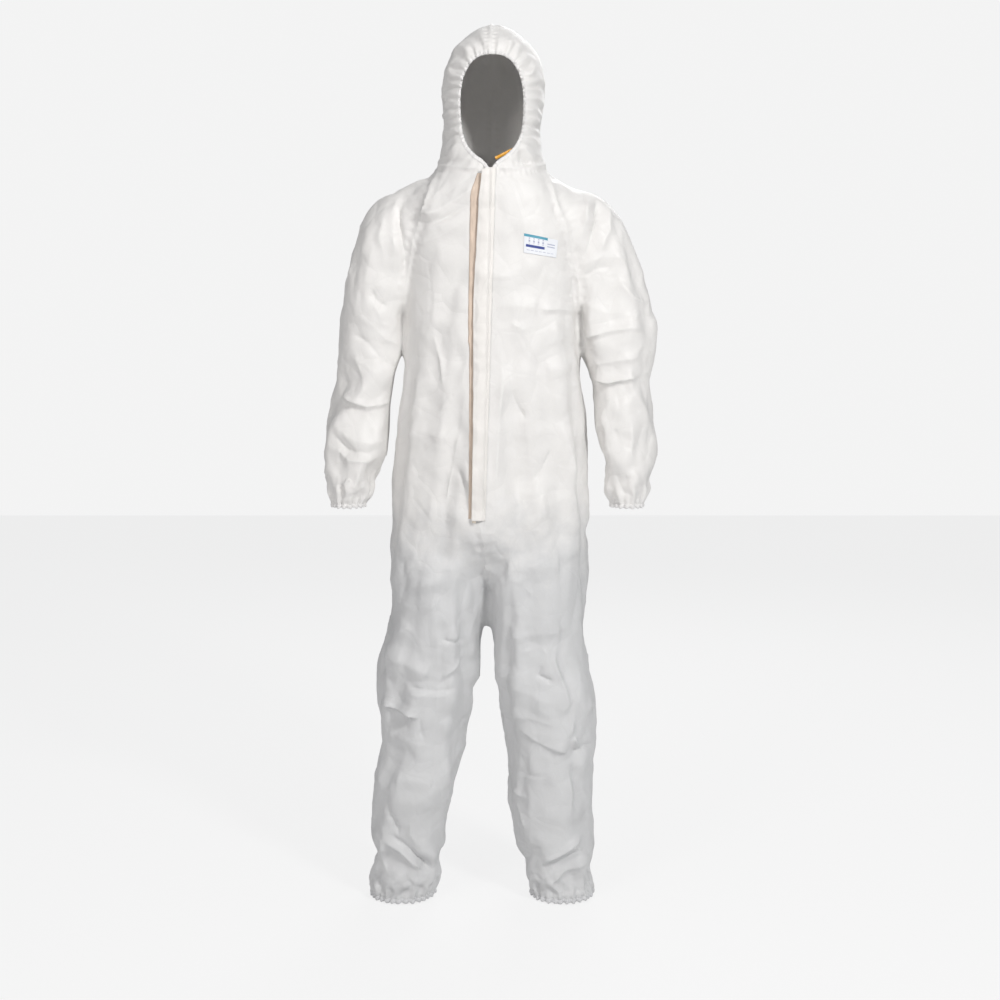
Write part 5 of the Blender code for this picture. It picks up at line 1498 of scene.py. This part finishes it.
def swept(name, sections, closed=True, caps=True):
    """A tube or strip through equal sections, each a ring of points in the row frame."""
    s = np.asarray(sections)
    rows, cols = s.shape[:2]
    faces = grid_faces(rows, cols, closed)
    if caps and closed:
        faces.append(tuple(range(cols)))
        faces.append(tuple(range((rows - 1) * cols, rows * cols))[::-1])
    o = mesh_object(name, s.reshape(-1, 3), faces)
    bm = bmesh.new()
    bm.from_mesh(o.data)
    bmesh.ops.recalc_face_normals(bm, faces=bm.faces)
    bm.to_mesh(o.data)
    bm.free()
    o.data.shade_smooth()
    return o


def free_edge(z):
    """The flap's free edge across the zip, by height along the zip."""
    return np.interp(z, [-0.02, 0.0, 0.174, 0.413, 0.609, ZLEN], [-0.0125, -0.0127, -0.0150, -0.0214, -0.0165, -0.0120])


def stitch_line(z):
    """Where the flap is sewn down."""
    return np.interp(z, [0.0, 0.174, 0.413, 0.609, ZLEN], [0.0122, 0.0112, 0.0092, 0.0078, 0.0070])


def flap_under(x, z):
    """How far the flap's underside stands off, as the local inward coordinate."""
    u = (x - FLAP_FREE) / (FLAP_HINGE - FLAP_FREE)
    arch = -(0.0036 * (1 - u) + 0.0010 * u) - 0.0052 * np.sin(np.pi * np.clip(u, 0, 1)) ** 0.85
    flat = -0.0010
    s = smoothstep(stitch_line(z) - 0.0050, stitch_line(z) - 0.0004, x)
    return arch * (1 - s) + flat * s


def flap_surface(x, z):
    """Extra outward lift of the flap: ripples, puckers at the stitch line and creases from packing."""
    u = (x - FLAP_FREE) / (FLAP_HINGE - FLAP_FREE)
    loose = smoothstep(0.0, -0.006, x - stitch_line(z))
    lift = 0.0016 * noise.noise(Vector((u * 0.7, z / 0.048, 1.0))) * (1 - u) ** 0.8
    lift += 0.0005 * np.sin(2 * math.pi * z / 0.031 + 3.0 * math.sin(z / 0.05) + 3 * u) * (1 - u)
    lift += 0.0012 * noise.noise(Vector((u * 1.3, z / 0.024, 4.0)))
    crease = 1 - 2 * abs(noise.noise(Vector((u * 0.9 + 2.0, z / 0.060, 9.0))))
    lift += 0.0011 * crease ** 3
    lift *= loose
    stitch = x - stitch_line(z)
    pucker = 1 + 0.5 * math.sin(2 * math.pi * z / 0.0062)
    lift -= 0.0006 * math.exp(-(stitch / 0.0011) ** 2) * pucker
    lift += 0.0005 * math.exp(-((stitch + 0.0030) / 0.0018) ** 2) * pucker
    hem = x - free_edge(z) - 0.0052
    lift -= 0.0004 * math.exp(-(hem / 0.0009) ** 2) * (1 + 0.5 * math.sin(2 * math.pi * z / 0.0051))
    return lift


def storm_flap():
    rows, cols = 300, 24
    low, free_top, hinge_top = -0.0095, ZLEN + 0.0035, ZLEN + 0.0090
    sections = []
    for i in range(rows):
        v = i / (rows - 1)
        top, under = [], []
        for k in range(cols):
            q = k / (cols - 1)
            z1 = free_top + (hinge_top - free_top) * q
            z = low + (z1 - low) * v
            edge = free_edge(z) + 0.0009 * noise.noise(Vector((0.0, z / 0.035, 2.0))) + 0.0003 * math.sin(z / 0.011)
            x = edge + (FLAP_HINGE - edge) * q
            y = float(flap_under(x, z))
            lift = flap_surface(x, z) * float(smoothstep(0, 0.02, v) * smoothstep(1, 0.98, v)) + 0.0002
            top.append((x, y - 0.0010 - lift, z))
            under.append((x, y - max(lift, 0) * 0.6 + 0.0001, z))
        sections.append(from_zip(np.array(top + under[::-1])))
    o = swept("flap_cloth", sections)
    give(o, "flap")
    return o


flap = storm_flap()
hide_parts("storm_flap")


def flap_tape():
    """The double-sided tape under the flap's free edge."""
    sections = []
    for i in range(160):
        z = -0.014 + (ZLEN - 0.010 + 0.014) * i / 159
        top, under = [], []
        for k in range(5):
            x = float(free_edge(z)) + 0.0014 + 0.0072 * k / 4
            y = float(flap_under(x, z))
            w = 0.00008 * math.sin(z / 0.004 + k)
            top.append((x, y + 0.00035, z))
            under.append((x, y + 0.00062 + w, z))
        sections.append(from_zip(np.array(top + under[::-1])))
    o = swept("flap_tape", sections)
    give(o, "adhesive")
    return o


tape_under_flap = flap_tape()
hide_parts("flap_adhesive_tape")


def liner_ribbon():
    """The peel-off liner on the front panel, beside the flap's free edge."""
    sections = []
    for i in range(330):
        z = -0.006 + (ZLEN - 0.004 + 0.006) * i / 329
        top, under = [], []
        for k in range(7):
            left = float(np.interp(z, [0.0, 0.174, 0.325, 0.335, 0.413, 0.609, 0.625, ZLEN], [-0.0185, -0.0222, -0.0262, -0.0285, -0.0305, -0.0325, -0.030, -0.0185]))
            x = left + (-0.0112 - left) * k / 6
            edge = abs(k / 6 - 0.5) * 2
            x += 0.0006 * noise.noise(Vector((k * 0.01, z / 0.020, 7.0))) * edge
            p = from_zip(np.array([x, 0, z]))
            hit = on_front(p[0], p[2], 0.0)
            y = p[1] if hit is None else hit.y
            lift = 0.0009 + 0.0004 * noise.noise(Vector((x / 0.010, z / 0.018, 3.0))) + 0.0002 * (1 - edge)
            top.append((p[0], y - lift - 0.0002, p[2]))
            under.append((p[0], y - lift * 0.3 + 0.0002, p[2]))
        sections.append(np.array(top + under[::-1]))
    o = swept("flap_liner", sections)
    give(o, "beige")
    return o


liner = liner_ribbon()
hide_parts("flap_adhesive_liner")


def zip_tape(side):
    s = 1 if side == "left" else -1
    rows, cols = 240, 10
    sections = []
    for i in range(rows):
        z = -0.004 + (ZLEN - 0.002 + 0.004) * i / (rows - 1)
        top, under = [], []
        for k in range(cols):
            x = 0.0024 + 0.0076 * k / (cols - 1)
            rib = 0.00010 * math.cos(k * math.pi) + 0.00006 * math.sin(z / 0.0007)
            if x > 0.0088:
                rib += 0.0
            cord = 0.0003 * math.exp(-((x - 0.0028) / 0.0006) ** 2)
            wave = 0.0002 * math.sin(z / 0.013 + s)
            top.append((s * x, 0.0006 - rib - cord + wave, z))
            under.append((s * x, 0.0013 + rib + wave, z))
        sections.append(from_zip(np.array(top + under[::-1])))
    o = swept(f"zip_tape_{side}_cloth", sections)
    give(o, "tape")
    return o


def zip_coil(side):
    """The coil: a flattened helix of monofilament along the tape's edge."""
    s = 1 if side == "left" else -1
    pitch, wire = 0.0020, 0.00036
    z0, z1 = 0.0008, ZLEN - 0.0070
    turns = (z1 - z0) / pitch
    per = 8
    n = int(turns * per)
    centre = []
    for i in range(n + 1):
        t = 2 * math.pi * i / per
        x = 0.0013 + 0.0010 * math.cos(t)
        y = 0.0005 + 0.00075 * math.sin(t)
        centre.append((s * x, y, z0 + pitch * i / per + (pitch / 2 if s > 0 else 0)))
    centre = np.array(centre)
    sides = 5
    tan = np.gradient(centre, axis=0)
    tan /= np.linalg.norm(tan, axis=1)[:, None]
    ref = np.array([0, 0, 1.0])
    a = np.cross(tan, ref)
    a /= np.linalg.norm(a, axis=1)[:, None]
    b = np.cross(tan, a)
    sections = [[centre[i] + wire * (math.cos(q) * a[i] + math.sin(q) * b[i]) for q in (2 * math.pi * k / sides for k in range(sides))] for i in range(len(centre))]
    o = swept(f"zip_coil_{side}_wire", from_zip(np.array(sections)))
    give(o, "coil")
    return o


zips = {}
for side in ("right", "left"):
    zips["tape_" + side] = zip_tape(side)
    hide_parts(f"zip_tape_{side}")
    zips["coil_" + side] = zip_coil(side)
    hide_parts(f"zip_coil_{side}")

for n in ("zip_slider", "zip_pull_tab", "zip_top_stop_right", "zip_top_stop_left", "zip_bottom_stop"):
    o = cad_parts[n]
    give(o, "metal")

# ------------------------------------------------------------------ label and liner end
def on_photo_plane(px, py, depth):
    t = math.radians(7)
    dx, dy = (px - 500) / 1700, -(py - 500) / 1700
    ray = np.array([dx, math.cos(t) + dy * math.sin(t), -math.sin(t) + dy * math.cos(t)])
    k = (depth + 3.4) / ray[1]
    return np.array([0.016 + ray[0] * k, 1.26 + ray[2] * k])


LABEL_CORNERS = [(0.0618, 1.3695), (0.1273, 1.3570), (0.1240, 1.3235), (0.0610, 1.3330)]


def chest_label():
    """The care label: a small printed patch with plain bars in place of its print."""
    nx, nz = 66, 36
    tl, tr, br, bl = [np.array(c) for c in LABEL_CORNERS]
    verts, faces, kinds = [], [], []
    for j in range(nz + 1):
        for i in range(nx + 1):
            u, v = i / nx, j / nz
            q = (tl * (1 - u) + tr * u) * (1 - v) + (bl * (1 - u) + br * u) * v
            hit = on_front(q[0], q[1] - NECK, 0.0)
            y = -0.135 if hit is None else hit.y
            edge = min(u, 1 - u, v * 0.6, (1 - v) * 0.6)
            verts.append((q[0], y, q[1] - NECK))
    v = np.array(verts).reshape(nz + 1, nx + 1, 3)
    y = v[:, :, 1]
    for _ in range(10):
        pad = np.pad(y, 1, mode="edge")
        y = (pad[:-2, 1:-1] + pad[2:, 1:-1] + pad[1:-1, :-2] + pad[1:-1, 2:] + 2 * y) / 6
    keep = v[:, :, 1]
    v[:, :, 1] = np.minimum(y, keep + 0.0004) - 0.0010
    back = v.copy()
    back[:, :, 1] += 0.00035
    allv = np.vstack([v.reshape(-1, 3), back.reshape(-1, 3)])
    off = (nx + 1) * (nz + 1)

    def kind(u, w):
        if w < 0.13 and u < 0.70:
            return 1
        if 0.52 < w < 0.66 and 0.06 < u < 0.62:
            return 2
        if 0.17 < w < 0.46 and 0.10 < u < 0.62 and int(u * 22) % 3 == 0 and int(w * 18) % 3 != 1:
            return 3
        if 0.72 < w < 0.92 and 0.06 < u < 0.90 and int(w * 26) % 3 == 0 and int(u * 33 + w * 17) % 4 != 0:
            return 3
        if 0.20 < w < 0.60 and 0.70 < u < 0.93 and int(w * 20) % 3 == 0:
            return 3
        return 0

    for j in range(nz):
        for i in range(nx):
            a = j * (nx + 1) + i
            faces.append((a, a + nx + 1, a + nx + 2, a + 1))
            kinds.append(kind((i + 0.5) / nx, (j + 0.5) / nz))
    for j in range(nz):
        for i in range(nx):
            a = off + j * (nx + 1) + i
            faces.append((a, a + 1, a + nx + 2, a + nx + 1))
            kinds.append(0)
    rim = [j * (nx + 1) for j in range(nz + 1)] + [nz * (nx + 1) + i for i in range(1, nx + 1)] \
        + [j * (nx + 1) + nx for j in range(nz - 1, -1, -1)] + [i for i in range(nx - 1, 0, -1)]
    for k, a in enumerate(rim):
        b = rim[(k + 1) % len(rim)]
        faces.append((a, a + off, b + off, b))
        kinds.append(0)
    o = mesh_object("chest_label_patch", allv, faces)
    o.data.materials.clear()
    for key in ("label", "teal", "blue", "grey"):
        o.data.materials.append(MAT[key])
    o.data.polygons.foreach_set("material_index", kinds)
    o.data.shade_smooth()
    return o


label = chest_label()
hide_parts("chest_label")


def liner_end():
    """The orange end of the release liner, behind the collar on the left of the V."""
    lo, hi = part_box("chin_liner_tab")
    cad = np.array([v.co[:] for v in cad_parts["chin_liner_tab"].data.vertices])
    c = cad.mean(0)
    d = np.linalg.svd(cad - c)[2]
    long, wide, thin = d[0], d[1], d[2]
    if long[0] < 0:
        long = -long
    if wide[2] < 0:
        wide = -wide
    L = np.abs((cad - c) @ long).max()
    W = np.abs((cad - c) @ wide).max()
    shift = wide * 0.0024
    L, W = L * 1.18, W * 0.80
    rows = []
    n = 60
    for i in range(n):
        t = -1 + 2 * i / (n - 1)
        bend = 0.0012 * math.cos(t * 2.2) + 0.0003 * math.sin(t * 11)
        top, under = [], []
        for k in range(9):
            w = -1 + 2 * k / 8
            edge = W * (1 - 0.25 * max(0, t) ** 3)
            p = c + shift + long * L * t * (1 - 0.01 * w * w) + wide * edge * w + thin * (bend + 0.0003 * math.cos(w * 2))
            top.append(p)
            under.append(p + thin * 0.0004)
        rows.append(top + under[::-1])
    o = swept("chin_liner_end", rows)
    give(o, "orange")
    return o


orange = liner_end()
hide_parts("chin_liner_tab")


# ------------------------------------------------------------------ stitches
def stitch_row(name, path, normals, pitch, length, radius):
    """A row of thread stitches on a line: short bars that dip into the cloth at both ends."""
    s = np.concatenate([[0], np.cumsum(np.linalg.norm(np.diff(path, axis=0), axis=1))])
    count = int(s[-1] / pitch)
    verts, faces = [], []
    for i in range(count):
        mid = (i + 0.5) * pitch
        pts = []
        for f, lift in ((-0.5, -0.0003), (-0.3, radius * 0.9), (0.0, radius * 1.15), (0.3, radius * 0.9), (0.5, -0.0003)):
            q = mid + f * length
            p = np.array([np.interp(q, s, path[:, k]) for k in range(3)])
            n = np.array([np.interp(q, s, normals[:, k]) for k in range(3)])
            n /= np.linalg.norm(n)
            pts.append(p + n * lift)
        pts = np.array(pts)
        t = pts[-1] - pts[0]
        t /= np.linalg.norm(t)
        n = np.array([np.interp(mid, s, normals[:, k]) for k in range(3)])
        b = np.cross(t, n)
        b /= np.linalg.norm(b)
        n = np.cross(b, t)
        k0 = len(verts)
        for p in pts:
            for k in range(4):
                q = math.pi / 4 + math.pi / 2 * k
                verts.append(p + radius * (math.cos(q) * b + math.sin(q) * n))
        for r in range(4):
            for k in range(4):
                m = (k + 1) % 4
                faces.append((k0 + r * 4 + k, k0 + r * 4 + m, k0 + r * 4 + 4 + m, k0 + r * 4 + 4 + k))
        faces.append((k0, k0 + 1, k0 + 2, k0 + 3))
        faces.append((k0 + 16, k0 + 19, k0 + 18, k0 + 17))
    o = mesh_object(name, verts, faces)
    o.data.shade_smooth()
    give(o, "thread")
    return o


def flap_stitches():
    pts = []
    for i in range(300):
        z = -0.008 + (ZLEN + 0.014) * i / 299
        x = float(stitch_line(z))
        y = float(flap_under(x, z)) - 0.0010 - flap_surface(x, z) - 0.0003
        pts.append((x, y, z))
    path = from_zip(np.array(pts))
    return stitch_row("flap_stitches", path, np.tile(-INWARD, (len(path), 1)), 0.0034, 0.0029, 0.00022)


threads = flap_stitches()

# ------------------------------------------------------------------ how everything moves
AXIS_LOW = Vector((0, 0.0950, NECK_BACK[1] - NECK))
for name in ("hood_right", "hood_left"):
    o = panels[name]
    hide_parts(name + "_panel")
for side in ("right", "left"):
    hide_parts(*FRONT_PARTS[side])
    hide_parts(*BACK_PARTS[side])
    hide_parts(f"{side}_sleeve_upper", f"{side}_sleeve_lower")

for o in (panels["hood_right"], panels["hood_left"], hood_edge, orange):
    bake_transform(o)
for side in ("right", "left"):
    for kind in ("front_", "back_"):
        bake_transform(panels[kind + side])
    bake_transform(panels["sleeve_" + side])
    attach(bands[side + "_cuff"], f"{side}_forearm")
    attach(bands[side + "_ankle"], f"{side}_shin")
    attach(zips["tape_" + side], "suit_body")
    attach(zips["coil_" + side], "suit_body")
for o in (waist, liner, label):
    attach(o, "suit_body")
for o in (flap, tape_under_flap, threads):
    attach(o, "flap")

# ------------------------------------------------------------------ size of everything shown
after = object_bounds()

# ------------------------------------------------------------------ stage, light and camera
floor_mesh = mesh_object("floor", [(-6, -6, after[0].z - 0.001), (6, -6, after[0].z - 0.001), (6, 6, after[0].z - 0.001), (-6, 6, after[0].z - 0.001)], [(0, 1, 2, 3)])
floor_mat, floor_nt, floor_shader = nodes_of("floor_paint")
floor_noise = floor_nt.nodes.new("ShaderNodeTexNoise")
floor_noise.inputs["Scale"].default_value = 3
floor_ramp = floor_nt.nodes.new("ShaderNodeValToRGB")
floor_ramp.color_ramp.elements[0].color = (0.80, 0.80, 0.80, 1)
floor_ramp.color_ramp.elements[1].color = (0.84, 0.84, 0.84, 1)
floor_nt.links.new(floor_noise.outputs["Fac"], floor_ramp.inputs["Fac"])
floor_nt.links.new(floor_ramp.outputs["Color"], floor_shader.inputs["Base Color"])
floor_shader.inputs["Roughness"].default_value = 0.9
floor_glow = floor_nt.nodes.new("ShaderNodeEmission")
floor_glow.inputs["Color"].default_value = (1, 1, 1, 1)
floor_glow.inputs["Strength"].default_value = 0.96
floor_mix = floor_nt.nodes.new("ShaderNodeMixShader")
floor_seen = floor_nt.nodes.new("ShaderNodeLightPath")
floor_part = floor_nt.nodes.new("ShaderNodeMath")
floor_part.operation = "MULTIPLY"
floor_part.inputs[1].default_value = 0.84
floor_nt.links.new(floor_seen.outputs["Is Camera Ray"], floor_part.inputs[0])
floor_nt.links.new(floor_part.outputs[0], floor_mix.inputs[0])
floor_nt.links.new(floor_shader.outputs[0], floor_mix.inputs[1])
floor_nt.links.new(floor_glow.outputs[0], floor_mix.inputs[2])
floor_nt.links.new(floor_mix.outputs[0], floor_nt.nodes["Material Output"].inputs["Surface"])
floor_mesh.data.materials.append(floor_mat)

world = bpy.data.worlds.new("studio")
bpy.context.scene.world = world
world.use_nodes = True
wt = world.node_tree
fill = wt.nodes["Background"]
fill.inputs["Color"].default_value = (0.97, 0.98, 1.0, 1)
fill.inputs["Strength"].default_value = 0.30
paper = wt.nodes.new("ShaderNodeBackground")
paper.inputs["Color"].default_value = (1, 1, 1, 1)
paper.inputs["Strength"].default_value = 0.90
seen = wt.nodes.new("ShaderNodeLightPath")
both = wt.nodes.new("ShaderNodeMixShader")
wt.links.new(seen.outputs["Is Camera Ray"], both.inputs[0])
wt.links.new(fill.outputs[0], both.inputs[1])
wt.links.new(paper.outputs[0], both.inputs[2])
wt.links.new(both.outputs[0], wt.nodes["World Output"].inputs["Surface"])


def area(name, where, at, size, power, colour=(1, 1, 1), size_y=None):
    light = bpy.data.lights.new(name, "AREA")
    light.energy = power
    light.color = colour
    light.size = size
    if size_y:
        light.shape = "RECTANGLE"
        light.size_y = size_y
    o = bpy.data.objects.new(name, light)
    bpy.context.scene.collection.objects.link(o)
    o.location = where
    o.rotation_euler = (Vector(at) - Vector(where)).to_track_quat("-Z", "Y").to_euler()
    return o


area("key", (1.7, -2.7, 1.25), (0, 0, -0.5), 0.5, 70, (1.0, 0.995, 0.985), 0.5)
area("fill", (-1.8, -2.8, 0.7), (0, 0, -0.4), 1.0, 29, (1.0, 0.97, 0.95), 1.0)
area("top", (-0.6, -0.6, 2.4), (0, 0, -0.4), 0.9, 5, (1.0, 1.0, 1.0), 0.9)
area("rear", (0.6, 2.6, 1.2), (0, 0, -0.5), 1.6, 34, (1.0, 1.0, 1.0), 1.6)

cam_data = bpy.data.cameras.new("camera")
cam = bpy.data.objects.new("camera", cam_data)
bpy.context.scene.collection.objects.link(cam)
cam.location = (0.016, -3.4, 1.26 - NECK)
cam.rotation_euler = (math.radians(83), 0, 0)
cam_data.lens = 61.2
cam_data.sensor_width = 36
cam_data.dof.use_dof = False
bpy.context.scene.camera = cam
bpy.context.scene.view_settings.view_transform = "Standard"
